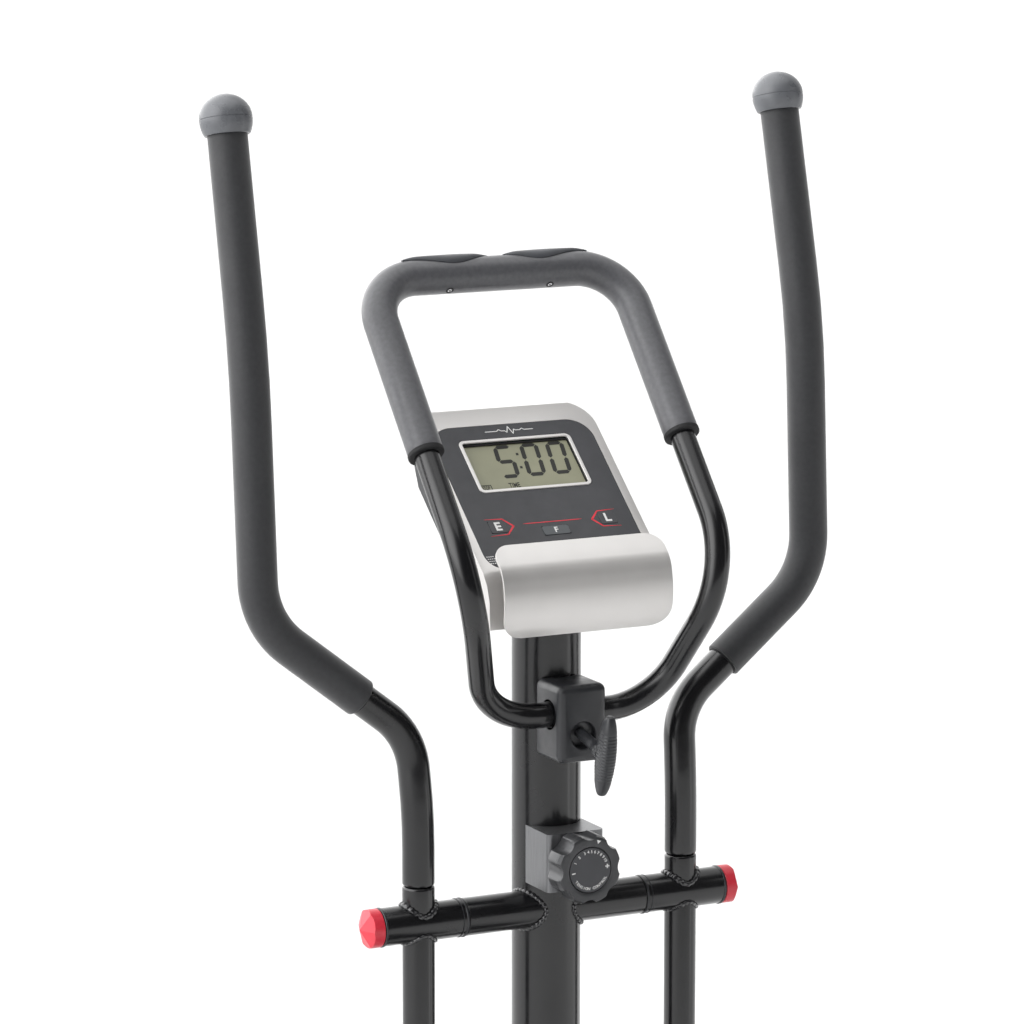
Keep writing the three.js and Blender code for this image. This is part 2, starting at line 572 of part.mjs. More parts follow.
// ---------------------------------------------------------------- console
// Local frame: X across, Y up the sloping face, Z out of the face.
const bodyPlan = plate(roundedRect(-CONSOLE.half, CONSOLE.half, -130, CONSOLE.top, [0, 0, 30, 30]),
  -60, 40, 'z', 6);
const frontProfile = outline([
  [117, CONSOLE.seam], [121, -14], [121, -2.5], [118.5, 0], [-64, 0], [-77, -3], [-88, -9.5],
  [-104.5, -27.5], [-87.5, -39.9], [-69.4, CONSOLE.seam],
].reverse());
const keyHoles = Object.values(KEYS).map((k) => box(
  k.x - k.w / 2 - GAP, k.x + k.w / 2 + GAP, k.s - k.h / 2 - GAP, k.s + k.h / 2 + GAP, -10, 5));
const window_ = box(-LCD.half - GAP, LCD.half + GAP, LCD.s0 - GAP, LCD.s1 + GAP, -10, 5);
const faceShape = (grow) => roundedRect(-FACE.half - grow, FACE.half + grow,
  FACE.s0 - grow, FACE.s1 + grow, [18, 18, 22, 22]);
const front = cut(
  plate(frontProfile, -CONSOLE.half, CONSOLE.half, 'x').intersect(bodyPlan),
  box(-80, 80, -52, 105, CONSOLE.seam - 1, -4),
  plate(faceShape(GAP), -FACE.depth - GAP, 2, 'z', 6), window_, ...keyHoles);
add(console_, 'console_front', front, silver);
add(console_, 'face_plate', cut(
  plate(faceShape(0), -FACE.depth, 0, 'z', 6), window_, ...keyHoles), slate);
add(console_, 'lcd_panel', box(-LCD.half, LCD.half, LCD.s0, LCD.s1, -7, -0.6), lcd);
add(console_, 'circuit_board', box(-66, 66, -44, 92, -15, -13.4), board);
for (const [name, k] of Object.entries(KEYS)) {
  add(console_, name, box(k.x - k.w / 2, k.x + k.w / 2, k.s - k.h / 2, k.s + k.h / 2, -8, 0.5),
    slate);
}

const rearProfile = outline([
  [116.5, CONSOLE.seam - GAP], [110, -26], [72, CONSOLE.floor], [-78, CONSOLE.floor],
  [-80, -33.6], [-68.6, CONSOLE.seam - GAP],
].reverse());
const rearPlan = plate(roundedRect(-CONSOLE.half + 3, CONSOLE.half - 3, -130, CONSOLE.top - 4,
  [0, 0, 27, 27]), -60, 40, 'z', 6);
add(console_, 'console_rear', cut(
  plate(rearProfile, -CONSOLE.half + 3, CONSOLE.half - 3, 'x').intersect(rearPlan),
  box(-80, 80, -62, 68, CONSOLE.floor + 3, CONSOLE.seam + 1)), satin);

const lipProfile = outline([
  [-52.4, 18.2], [-52.4, 20.6], [-64, 21], [-72, 21], [-78.5, 20.4], [-84, 18.7], [-88, 16.8],
  [-92, 13.8], [-98, 8.6], [-104, 2.2], [-109, -4.6], [-113, -12], [-115.6, -19],
  [-116.6, -26], [-114.8, -28], [-105.5, -27.9], [-88.25, -9.2], [-77.1, -2.6], [-68, -0.6],
  [-69, 4], [-72, 9], [-73, 13], [-71.5, 16.4], [-68, 18.2],
]);
const lipFoot = [-116.6, -27];
const lipTop = [-52.4, 20.6];
const lipLean = Math.atan2(lipFoot[1] - lipTop[1], lipFoot[0] - lipTop[0]);
const lipFrame = new THREE.Matrix4().makeRotationX(lipLean + Math.PI)
  .setPosition(0, lipTop[0], lipTop[1]);
const lipLong = Math.hypot(lipFoot[0] - lipTop[0], lipFoot[1] - lipTop[1]);
const lipWindow = new THREE.ExtrudeGeometry(
  roundedRect(-CONSOLE.lip, CONSOLE.lip, -lipLong, 0, [20, 20, 16, 16]),
  { depth: 80, bevelEnabled: false, curveSegments: 5 }).translate(0, 0, -40);
add(console_, 'console_lip', plate(lipProfile, -CONSOLE.lip - 1, CONSOLE.lip + 1, 'x')
  .intersect(solid(lipWindow, lipFrame)), silver);

// ---------------------------------------------------------------- swing arms and pedals
const armFoot = ARM.pivotZ - AXLE.z;
bothSides((side, word) => {
  const x = side * ARM.x;
  const [s0, s1] = spanX(side, AXLE.half + 1.6, AXLE.sleeve);
  const sleeve = barX(s0, s1, AXLE.y, 0, ARM.sleeveR, 20);
  const forkTop = armFoot + 34;
  let arm = join(sleeve,
    bar([x, AXLE.y, 0], [x, AXLE.y, ARM.seam], ARM.r, 12),
    bar([x, AXLE.y, 20], [x, AXLE.y, ARM.seam + 45], ARM.spigot, 12),
    bar([x, AXLE.y, forkTop - 4], [x, AXLE.y, 0], ARM.r, 12),
    box(x - 21, x + 21, AXLE.y - 15, AXLE.y + 15, forkTop - 8, forkTop - 3));
  for (const dx of [-21, 17]) {
    arm = join(arm, box(x + dx, x + dx + 4, AXLE.y - 15, AXLE.y + 15, armFoot, forkTop - 3),
      barX(x + dx, x + dx + 4, AXLE.y, armFoot, 15, 16));
  }
  arm = cut(arm,
    bar([x, AXLE.y, forkTop - 9], [x, AXLE.y, -ARM.sleeveR - 4], ARM.bore, 8),
    barX(s0 - 1, s1 + 1, AXLE.y, 0, boreRadius(AXLE.shaft, RUN, 20), 20));
  arm = join(arm, barX(x - 26, x + 26, AXLE.y, armFoot, PEDAL.bolt, 12));
  add(head, `lower_arm_${word}`, arm, black);

  const route = rounded([
    [x, AXLE.y, ARM.seam + GAP], [x, AXLE.y, 95], [side * 130, 0, 163], [side * 265.5, 8, 270],
    [side * 266.5, 22, 490], [side * 264.5, 70.5, 688],
  ], [400, 62, 74, 600]);
  const total = lengthOf(route);
  add(head, `handlebar_${word}`, pipe(route, ARM.r, ARM.bore), black);
  const hold = stretch(route, 185, total - 14.5);
  add(head, `grip_${word}`, pipe(hold, ARM.r + GRIP.wall, boreRadius(ARM.r, GAP, 8)), foam);
  const end = route[route.length - 1];
  const back = route[route.length - 2];
  const up = end.clone().sub(back).normalize();
  const base = end.clone().addScaledVector(up, -14);
  const capR = ARM.r + GRIP.cap;
  const cap = lathe([
    [0, 0], [capR - 2, 0], [capR, 14], [capR - 3, 24], [capR - 11, 32], [0, 35],
  ], placed(up.toArray(), base.toArray()), 20);
  const room = bar(base.clone().addScaledVector(up, -5).toArray(),
    end.clone().addScaledVector(up, GAP).toArray(), boreRadius(ARM.r, GAP, 12), 12);
  add(head, `grip_cap_${word}`, cut(cap, room), ball);

  const [c0, c1] = spanX(side, AXLE.sleeve + GAP, AXLE.sleeve + 10);
  const tip = side * (AXLE.sleeve + 17);
  const face = side * (AXLE.sleeve + 10);
  const hex = join(barX(c0, c1, AXLE.y, 0, 16.5, 24),
    bar([face - side, AXLE.y, 0], [tip, AXLE.y, 0], 16, 6, 7));
  const [w0, w1] = spanX(side, AXLE.sleeve - 1, AXLE.sleeve + 3.6);
  add(head, `axle_cap_${word}`, cut(hex, barX(w0, w1, AXLE.y, 0, 13.6, 24)), red);
});

bothSides((side, word) => {
  const x = side * ARM.x;
  const tipZ = CRANK.z - side * CRANK.throw;
  const front_ = [x, POST.y + AXLE.y, ARM.pivotZ];
  const rear = [x, CRANK.y, tipZ];
  const tube = bar(front_, rear, PEDAL.r, 12);
  const hollow = new THREE.Vector3(...rear).lerp(new THREE.Vector3(...front_), 0.04);
  const ahead = new THREE.Vector3(...rear).lerp(new THREE.Vector3(...front_), 0.96);
  const [r0, r1] = spanX(side, PEDAL.x0, PEDAL.x1);
  const outer = join(
    tube.subtract(box(x - 30, x + 30, front_[1] - 24, front_[1] + 40, 200, 400)),
    barX(x - 15.5, x + 15.5, front_[1], front_[2], PEDAL.front, 20),
    box(x - 12, x + 12, front_[1] - 32, front_[1] - 6, front_[2] - 8, front_[2] + 8),
    barX(r0, r1, rear[1], rear[2], PEDAL.rear, 20));
  const mid = new THREE.Vector3(...rear).lerp(new THREE.Vector3(...front_), PLATE.share);
  const lean = Math.atan2(front_[2] - rear[2], front_[1] - rear[1]);
  const onTube = new THREE.Matrix4().makeRotationX(lean).setPosition(mid);
  const carrier = solid(new THREE.BoxGeometry(52, 120, PLATE.seat - 8)
    .translate(0, 0, PLATE.seat / 2 + 4), onTube);
  const drill = bar(hollow.toArray(), ahead.toArray(), PEDAL.r - 2.5, 8);
  const drain = new THREE.Vector3(...rear).lerp(new THREE.Vector3(...front_), 0.16);
  const open = bar([x, drain.y, drain.z], [x, drain.y, drain.z - 40], 4, 8);
  const pedal = cut(join(outer, carrier), drill, open,
    barX(x - 40, x + 40, front_[1], front_[2], boreRadius(PEDAL.bolt, RUN, 12), 12),
    barX(r0 - 1, r1 + 1, rear[1], rear[2], boreRadius(PEDAL.pin, GAP, 16), 16));
  add(trainer, `pedal_tube_${word}`, pedal, black);

  const [p0, p1] = spanX(side, PLATE.x0 - ARM.x, PLATE.x1 - ARM.x);
  const low = PLATE.seat + GAP;
  const tray = cut(
    plate(roundedRect(p0, p1, PLATE.y0, PLATE.y1, [28, 28, 40, 40]), low, low + PLATE.rim, 'z', 4),
    plate(roundedRect(p0 + 4, p1 - 4, PLATE.y0 + 4, PLATE.y1 - 4, [24, 24, 36, 36]),
      low + PLATE.thick, low + PLATE.rim + 1, 'z', 4),
    plate(outline([
      [PLATE.y0 - 5, low + PLATE.thick + 4], [PLATE.y0 + 190, low + PLATE.thick + 4],
      [PLATE.y1 - 60, low + PLATE.rim - 4], [PLATE.y1 - 40, low + PLATE.rim + 5],
      [PLATE.y0 - 5, low + PLATE.rim + 5],
    ]), p0 - 5, p1 + 5, 'x'));
  const deck = new THREE.Group();
  deck.position.copy(mid);
  deck.rotation.x = lean;
  trainer.add(deck);
  add(deck, `footplate_${word}`, tray, satin);

  const [b0, b1] = spanX(side, CRANK.outer + 0.5, PEDAL.x1 + 6);
  const [h0, h1] = spanX(side, PEDAL.x1 + GAP, PEDAL.x1 + 6);
  const [f0, f1] = spanX(side, CRANK.outer + 0.5, PEDAL.x0 - GAP);
  add(trainer, `crank_pin_${word}`, join(
    barX(b0, b1, rear[1], rear[2], PEDAL.pin, 16),
    barX(h0, h1, rear[1], rear[2], 14, 16),
    barX(f0, f1, rear[1], rear[2], 12, 16)), steel);
});

export default trainer;
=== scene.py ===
# Looks of the elliptical trainer: pieces, materials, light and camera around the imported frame.
# Shapes are worked out in millimetres in the frame's axes and scaled to metres when made.
import json
import math
import random

import bmesh
import bpy
from mathutils import Matrix, Quaternion, Vector


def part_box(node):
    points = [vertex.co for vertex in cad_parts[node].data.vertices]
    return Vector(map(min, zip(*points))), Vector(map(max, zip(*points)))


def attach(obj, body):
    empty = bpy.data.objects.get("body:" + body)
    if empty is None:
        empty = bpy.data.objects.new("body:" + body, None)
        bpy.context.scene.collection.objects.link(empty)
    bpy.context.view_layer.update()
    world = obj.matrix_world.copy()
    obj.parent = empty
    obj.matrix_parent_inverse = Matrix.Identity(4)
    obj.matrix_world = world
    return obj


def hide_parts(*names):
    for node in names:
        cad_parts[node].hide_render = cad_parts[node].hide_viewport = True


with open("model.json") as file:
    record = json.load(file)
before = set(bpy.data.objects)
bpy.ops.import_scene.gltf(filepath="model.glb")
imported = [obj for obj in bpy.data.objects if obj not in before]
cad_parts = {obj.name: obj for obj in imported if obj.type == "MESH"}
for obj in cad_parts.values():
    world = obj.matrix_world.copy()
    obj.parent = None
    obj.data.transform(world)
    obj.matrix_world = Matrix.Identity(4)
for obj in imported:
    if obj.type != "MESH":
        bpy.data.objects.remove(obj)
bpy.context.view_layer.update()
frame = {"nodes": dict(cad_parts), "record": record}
random.seed(7)
scene = bpy.context.scene
nodes = frame["nodes"]
body_of = {n: b for b, names in frame["record"]["behaviour"]["bodies"].items() for n in names}
slot_of = {p["node"]: p["material_slot"] for p in frame["record"]["subparts"]}

X, Y, Z = Vector((1, 0, 0)), Vector((0, 1, 0)), Vector((0, 0, 1))


def low(node):
    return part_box(node)[0] * 1000


def high(node):
    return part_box(node)[1] * 1000


def centre(node):
    return (low(node) + high(node)) / 2


# ------------------------------------------------------------------ places taken from the frame
HEAD = Vector((0, centre("upper_post").y, centre("axle_tube").z))
POST_R = (high("upper_post").x - low("upper_post").x) / 2
AXLE = centre("axle_tube")
AXLE_R = (high("axle_tube").z - low("axle_tube").z) / 2
AXLE_HALF = high("axle_tube").x
SLEEVE_END = low("axle_cap_right").x - 0.3
ARM_X, ARM_R, SLEEVE_R, SEAM, PIVOT_Z = 127.5, 14, 16.5, 33, 300
CRANK = centre("crank_axle")
SLOPE = math.radians(39.6)
S_AXIS = Vector((0, math.cos(SLOPE), math.sin(SLOPE)))
N_AXIS = Vector((0, -math.sin(SLOPE), math.cos(SLOPE)))
CONSOLE = HEAD + Z * 348.5


def on_head(x, y, z):
    return HEAD + Vector((x, y, z))


def on_face(x, s, n):
    """A point on the console: across, up the sloping face, out of it."""
    return CONSOLE + X * x + S_AXIS * s + N_AXIS * n


# ------------------------------------------------------------------ materials
def socket_set(shader, **values):
    for key, value in values.items():
        shader.inputs[key.replace("_", " ")].default_value = value


class Finish:
    """A node material with its colour, roughness and relief varied over the surface."""

    def __init__(self, name, colour, rough, metal=0.0, **fixed):
        self.material = bpy.data.materials.new(name)
        self.material.use_nodes = True
        self.tree = self.material.node_tree
        self.shader = self.tree.nodes["Principled BSDF"]
        self.colour = colour
        socket_set(self.shader, Metallic=metal, Roughness=rough, **fixed)
        self.rough = rough
        self.place = self.tree.nodes.new("ShaderNodeTexCoord").outputs["Object"]
        self.relief = None

    def link(self, a, b):
        self.tree.links.new(a, b)

    def node(self, kind, **inputs):
        made = self.tree.nodes.new("ShaderNode" + kind)
        for key, value in inputs.items():
            made.inputs[key.replace("_", " ")].default_value = value
        return made

    def noise(self, scale, detail=4.0, stretch=None):
        made = self.node("TexNoise", Scale=scale, Detail=detail)
        place = self.place
        if stretch:
            mapping = self.node("Mapping")
            mapping.inputs["Scale"].default_value = stretch
            self.link(self.place, mapping.inputs["Vector"])
            place = mapping.outputs["Vector"]
        self.link(place, made.inputs["Vector"])
        return made.outputs["Fac"]

    def cells(self, scale, feature="F1"):
        made = self.node("TexVoronoi", Scale=scale)
        made.feature = feature
        self.link(self.place, made.inputs["Vector"])
        return made.outputs["Distance"]

    def shade(self, source, amount, low_at=0.35, high_at=0.65):
        """Colour swings by amount either way with source."""
        ramp = self.node("ValToRGB")
        ramp.color_ramp.elements[0].position = low_at
        ramp.color_ramp.elements[1].position = high_at
        for element, k in zip(ramp.color_ramp.elements, (1 - amount, 1 + amount)):
            element.color = [min(c * k, 1) for c in self.colour] + [1]
        self.link(source, ramp.inputs["Fac"])
        self.link(ramp.outputs["Color"], self.shader.inputs["Base Color"])
        return self

    def dull(self, source, amount):
        """Roughness swings by amount either way with source."""
        spread = self.node("MapRange")
        spread.inputs["From Min"].default_value = 0.3
        spread.inputs["From Max"].default_value = 0.7
        spread.inputs["To Min"].default_value = max(self.rough - amount, 0.02)
        spread.inputs["To Max"].default_value = min(self.rough + amount, 1)
        self.link(source, spread.inputs["Value"])
        self.link(spread.outputs["Result"], self.shader.inputs["Roughness"])
        return self

    def bump(self, source, height, strength=1.0):
        """Relief of the given height in millimetres, on top of any before it."""
        made = self.node("Bump", Strength=strength, Distance=height / 1000)
        self.link(source, made.inputs["Height"])
        if self.relief:
            self.link(self.relief, made.inputs["Normal"])
        self.relief = made.outputs["Normal"]
        self.link(self.relief, self.shader.inputs["Normal"])
        return self


def paint(name, colour, rough, orange_peel=0.05, **fixed):
    f = Finish(name, colour, rough, **fixed)
    f.shade(f.noise(9), 0.16).dull(f.noise(26), 0.05)
    return f.bump(f.noise(240, 2), orange_peel, 0.5)


def moulded(name, colour, rough, grain=0.06, scale=1100, mottle=0.1, **fixed):
    f = Finish(name, colour, rough, **fixed)
    f.shade(f.noise(40), mottle).dull(f.noise(90), 0.02 if grain < 0.02 else 0.06)
    return f.bump(f.cells(scale), grain, 0.5) if grain else f


def sponge(name, colour, rough, pore, **fixed):
    f = Finish(name, colour, rough, **fixed)
    f.shade(f.noise(260, 5), 0.10).dull(f.noise(30), 0.05)
    return f.bump(f.cells(900), pore, 0.5).bump(f.noise(38, 2), 0.3, 0.2)


def worked_metal(name, colour, rough, stretch, scratch=0.03, metal=1.0):
    f = Finish(name, colour, rough, metal)
    lines = f.noise(60, 5, stretch)
    f.shade(lines, 0.12).dull(lines, 0.08)
    return f.bump(lines, scratch, 0.5)


LOOKS = {
    "black_gloss": paint("black_gloss_paint", (0.004, 0.004, 0.005), 0.24,
                         Coat_Weight=0.25, Coat_Roughness=0.12),
    "satin_black": moulded("satin_black_plastic", (0.022, 0.023, 0.026), 0.36),
    "grip_foam": sponge("grip_foam_rubber", (0.022, 0.0225, 0.025), 0.6, 0.1,
                        Sheen_Weight=0.35, Sheen_Roughness=0.45),
    "ball_grey": moulded("ball_grey_plastic", (0.115, 0.12, 0.13), 0.3, 0.03, 900),
    "console_silver": moulded("console_silver_paint", (0.66, 0.645, 0.63), 0.36, 0.0, 2600,
                              0.012, metal=0.6),
    "face_slate": moulded("face_slate_film", (0.050, 0.051, 0.057), 0.5, 0.02, 1900, 0.05),
    "lcd_screen": moulded("lcd_olive_glass", (0.285, 0.285, 0.185), 0.4, 0.004, 3000, 0.04,
                          Coat_Weight=0.15, Coat_Roughness=0.06),
    "red_plastic": moulded("red_moulded_plastic", (0.62, 0.028, 0.05), 0.36, 0.04, 900, 0.08),
    "bright_steel": worked_metal("bright_turned_steel", (0.55, 0.555, 0.57), 0.28, (1, 1, 9)),
    "cast_iron": worked_metal("cast_iron_rough", (0.07, 0.07, 0.075), 0.6, (1, 1, 1), 0.25, 0.7),
    "tyre_rubber": moulded("tyre_rubber_black", (0.016, 0.016, 0.017), 0.75, 0.1, 800),
    "board_green": moulded("board_green_resist", (0.02, 0.16, 0.06), 0.4, 0.03, 500),
}
foam_sheen = sponge("sensor_foam_skin", (0.085, 0.086, 0.093), 0.36, 0.02, Sheen_Weight=0.15,
                    Sheen_Roughness=0.4)
pad_skin = moulded("sensor_pad_skin", (0.052, 0.055, 0.062), 0.5, 0.04, 1000)
weld_skin = paint("black_weld_paint", (0.012, 0.012, 0.014), 0.16, 0.3,
                  Coat_Weight=0.6, Coat_Roughness=0.1)
box_skin = worked_metal("box_dark_steel", (0.17, 0.172, 0.178), 0.34, (14, 14, 0.6), 0.02, 0.75)
knob_skin = worked_metal("knob_satin_charcoal", (0.05, 0.051, 0.054), 0.34, (1, 12, 1), 0.02, 0.35)
deck_skin = moulded("deck_textured_plastic", (0.03, 0.031, 0.034), 0.6, 0.12, 620)
key_skin = moulded("key_grey_film", (0.088, 0.098, 0.105), 0.45, 0.02, 1900, 0.05)
chrome = worked_metal("screw_zinc", (0.62, 0.62, 0.63), 0.22, (1, 1, 1), 0.02)
white_ink = moulded("white_print", (0.80, 0.80, 0.79), 0.5, 0.01, 2500, 0.04)
red_ink = moulded("red_print", (0.75, 0.02, 0.04), 0.45, 0.01, 2500, 0.05)
lcd_ink = moulded("lcd_segment_ink", (0.018, 0.018, 0.015), 0.6, 0.004, 2500, 0.06)
# Near-black: the own colour of the sensor foam's end rings, and painted shade on the LCD well walls, the
# grip mouths and the pad screw recesses.
black_trim_and_painted_shade = moulded("black_trim_and_painted_shadow", (0.006, 0.006, 0.007), 0.7, 0.05, 900)
floor_skin = Finish("pale_floor", (0.8, 0.8, 0.8), 0.8)
floor_skin.dull(floor_skin.noise(2), 0.05)


# ------------------------------------------------------------------ mesh making
class Shape:
    """Collects closed shapes in millimetres; make() turns them into one object."""

    def __init__(self):
        self.verts = []
        self.faces = []

    def add(self, verts, faces):
        n = len(self.verts)
        self.verts += [Vector(v) for v in verts]
        self.faces += [[i + n for i in f] for f in faces]
        return self

    def make(self, name, look, body, slot=None, replaces=(), sharp=34, bevel=0.0, steps=3,
             subdivide=0):
        mesh = bpy.data.meshes.new(name)
        mesh.from_pydata([v / 1000 for v in self.verts], [], self.faces)
        obj = bpy.data.objects.new(name, mesh)
        scene.collection.objects.link(obj)
        return dressed(obj, look, body, slot, replaces, sharp, bevel, steps, subdivide)


def dressed(obj, look, body, slot, replaces, sharp, bevel, steps, subdivide=0):
    bm = bmesh.new()
    bm.from_mesh(obj.data)
    bmesh.ops.remove_doubles(bm, verts=bm.verts, dist=2e-6)
    bmesh.ops.recalc_face_normals(bm, faces=bm.faces)
    limit = math.radians(sharp)
    for face in bm.faces:
        face.smooth = True
    for edge in bm.edges:
        if len(edge.link_faces) == 2 and edge.calc_face_angle(0) > limit:
            edge.smooth = False
    bm.to_mesh(obj.data)
    bm.free()
    material = look.material if isinstance(look, Finish) else LOOKS[look].material
    obj.data.materials.clear()
    obj.data.materials.append(material)
    if bevel:
        made = obj.modifiers.new("edges", "BEVEL")
        made.width = bevel / 1000
        made.segments = steps
        made.limit_method = "ANGLE"
        made.angle_limit = limit
        made.harden_normals = True
    if subdivide:
        made = obj.modifiers.new("round", "SUBSURF")
        made.levels = made.render_levels = subdivide
    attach(obj, body)
    if slot is None and isinstance(look, str):
        slot = look
    if replaces:
        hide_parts(*replaces)
    return obj


def refined(node, bevel=0.6, sharp=34, steps=2, look=None, flat=1.0):
    """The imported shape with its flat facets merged, its edges rounded and its curves smooth."""
    mesh = nodes[node].data.copy()
    bm = bmesh.new()
    bm.from_mesh(mesh)
    bmesh.ops.remove_doubles(bm, verts=bm.verts, dist=2e-6)
    bmesh.ops.dissolve_limit(bm, angle_limit=math.radians(flat), verts=bm.verts, edges=bm.edges)
    bm.to_mesh(mesh)
    bm.free()
    if "custom_normal" in mesh.attributes:
        mesh.attributes.remove(mesh.attributes["custom_normal"])
    obj = bpy.data.objects.new(node + "_finish", mesh)
    scene.collection.objects.link(obj)
    return dressed(obj, look or slot_of[node], body_of[node], slot_of[node], (node,), sharp, bevel,
                   steps)


def any_normal(axis):
    return axis.cross(Z if abs(axis.z) < 0.9 else X).normalized()


def between(first, second, seg):
    """The faces between two rings of seg points, given each ring's first number."""
    return [[first + k, first + (k + 1) % seg, second + (k + 1) % seg, second + k]
            for k in range(seg)]


def tube_faces(rings, seg):
    """The faces of a stack of rings, with both ends closed."""
    faces = [f for i in range(rings - 1) for f in between(i * seg, (i + 1) * seg, seg)]
    return faces + [list(range(seg))[::-1], list(range((rings - 1) * seg, rings * seg))]


def sheet_faces(rows, cols):
    """The faces of a thick sheet: an upper grid, a lower grid after it, and the rim between."""
    n = rows * cols
    faces = []
    for i in range(rows - 1):
        for j in range(cols - 1):
            a, b = i * cols + j, i * cols + j + 1
            c, d = b + cols, a + cols
            faces += [[a, b, c, d], [n + d, n + c, n + b, n + a]]
    rim = [i * cols for i in range(rows)] + [(rows - 1) * cols + j for j in range(1, cols)]
    rim += [i * cols + cols - 1 for i in range(rows - 2, -1, -1)] + list(range(cols - 2, 0, -1))
    return faces + [[a, n + a, n + b, b] for a, b in zip(rim, rim[1:] + rim[:1])]


def sweep(points, radius, seg=40, soft=1.0):
    """A round bar along points; radius may be a function of the distance and whole length."""
    points = [Vector(p) for p in points]
    length = sum((b - a).length for a, b in zip(points, points[1:]))
    stations, run = [(points[0], 0.0)], 0.0
    for a, b in zip(points, points[1:]):
        run += (b - a).length
        stations.append((b, run))
    first = (points[1] - points[0]).normalized()
    last = (points[-1] - points[-2]).normalized()
    start = [(points[0] + first * soft * (1 - math.cos(t)), soft * (1 - math.sin(t)), True)
             for t in (k * math.pi / 8 for k in range(5))] if soft else []
    end = [(points[-1] - last * soft * (1 - math.cos(t)), soft * (1 - math.sin(t)), False)
           for t in (k * math.pi / 8 for k in range(4, -1, -1))] if soft else []
    rows = [(p, 0.0, less) for p, less, _ in start]
    rows += [(p, run_, 0.0) for p, run_ in stations if soft < run_ < length - soft or not soft]
    rows += [(p, length, less) for p, less, _ in end]
    turn = any_normal((rows[1][0] - rows[0][0]).normalized())
    verts = []
    for i, (p, at, less) in enumerate(rows):
        before, after = rows[max(i - 1, 0)][0], rows[min(i + 1, len(rows) - 1)][0]
        axis = (after - before).normalized()
        turn = (turn - axis * turn.dot(axis)).normalized()
        side = axis.cross(turn)
        r = (radius(at, length) if callable(radius) else radius) - less
        for k in range(seg):
            a = 2 * math.pi * k / seg
            verts.append(p + (turn * math.cos(a) + side * math.sin(a)) * r)
    return verts, tube_faces(len(rows), seg)


def loop_sweep(points, radius, seg=10):
    """A closed ring of round section; radius is a function of the place round the ring, 0 to 1."""
    n = len(points)
    verts, faces = [], []
    middle = sum(points, Vector()) / n
    for i, p in enumerate(points):
        axis = (points[(i + 1) % n] - points[i - 1]).normalized()
        out = p - middle
        out = (out - axis * out.dot(axis)).normalized()
        side = axis.cross(out)
        r = radius(i / n)
        for k in range(seg):
            a = 2 * math.pi * k / seg
            verts.append(p + (out * math.cos(a) + side * math.sin(a)) * r)
        faces += between(i * seg, (i + 1) % n * seg, seg)
    return verts, faces


def weld(points, radius, beads):
    """A weld: a ring of overlapping ripples."""
    seed = random.random() * 6

    def thick(t):
        ripple = abs(math.sin(math.pi * beads * t))
        return radius * (0.72 + 0.3 * ripple + 0.12 * math.sin(2 * math.pi * 3 * t + seed))
    return loop_sweep(points, thick)


def lathe(profile, origin, axis, seg=64, closed=False, shape=None):
    """A turned shape: profile is (radius, height) pairs. shape(angle, r, h) may change r and h."""
    axis = Vector(axis).normalized()
    u = any_normal(axis)
    if abs(axis.y) > 0.9:
        u = X.copy()
    v = axis.cross(u)
    verts = []
    n = len(profile)
    for r, h in profile:
        for k in range(seg):
            a = 2 * math.pi * k / seg
            rr, hh = shape(a, r, h) if shape else (r, h)
            verts.append(Vector(origin) + (u * math.cos(a) + v * math.sin(a)) * rr + axis * hh)
    if closed:
        return verts, [f for i in range(n) for f in between(i * seg, (i + 1) % n * seg, seg)]
    return verts, tube_faces(n, seg)


def prism(outline, origin, u, v, d0, d1):
    """A flat outline in the u, v plane, made solid from d0 to d1 along u x v."""
    w = u.cross(v)
    n = len(outline)
    verts = [Vector(origin) + u * a + v * b + w * d for d in (d0, d1) for a, b in outline]
    faces = [[i, (i + 1) % n, n + (i + 1) % n, n + i] for i in range(n)]
    faces += [list(range(n))[::-1], list(range(n, 2 * n))]
    return verts, faces


def block(lo, hi):
    lo, hi = Vector(lo), Vector(hi)
    outline = [(lo.x, lo.y), (hi.x, lo.y), (hi.x, hi.y), (lo.x, hi.y)]
    return prism(outline, (0, 0, 0), X, Y, lo.z, hi.z)


def corners(u0, u1, v0, v1, radii, steps=10):
    """A rectangle with its four corners rounded: bottom left, bottom right, top right, top left."""
    out = []
    places = [(u0, v0, 1, 1, 180), (u1, v0, -1, 1, 270), (u1, v1, -1, -1, 0), (u0, v1, 1, -1, 90)]
    for (cu, cv, su, sv, from_), r in zip(places, radii):
        for k in range(steps + 1 if r else 1):
            a = math.radians(from_ + 90 * k / steps)
            out.append((cu + su * r + math.cos(a) * r, cv + sv * r + math.sin(a) * r))
    return out


def rounded(points, radii, step=0.1):
    """Corners of a route turned into arcs."""
    points = [Vector(p) for p in points]
    out = [points[0]]
    for p0, p, p1, r in zip(points, points[1:], points[2:], radii):
        a, b = (p0 - p), (p1 - p)
        inner = a.angle(b)
        a.normalize()
        b.normalize()
        reach = r / math.tan(inner / 2)
        middle = p + (a + b).normalized() * (r / math.sin(inner / 2))
        start = p + a * reach - middle
        axis = start.cross(p + b * reach - middle).normalized()
        n = max(3, math.ceil((math.pi - inner) / step))
        out += [middle + Quaternion(axis, (math.pi - inner) * k / n) @ start for k in range(n + 1)]
    return out + [points[-1]]


def stretch_of(points, start, end):
    """The part of a route between two distances along it, with stations no more than 8 mm apart."""
    out, run = [], 0.0
    for a, b in zip(points, points[1:]):
        d = (b - a).length
        lo_, hi_ = max(start, run), min(end, run + d)
        if hi_ > lo_:
            n = max(1, math.ceil((hi_ - lo_) / 8))
            for k in range(n):
                out.append(a.lerp(b, (lo_ + (hi_ - lo_) * k / n - run) / d))
            tail = a.lerp(b, (hi_ - run) / d)
        run += d
    return out + [tail]


def route_length(points):
    return sum((b - a).length for a, b in zip(points, points[1:]))


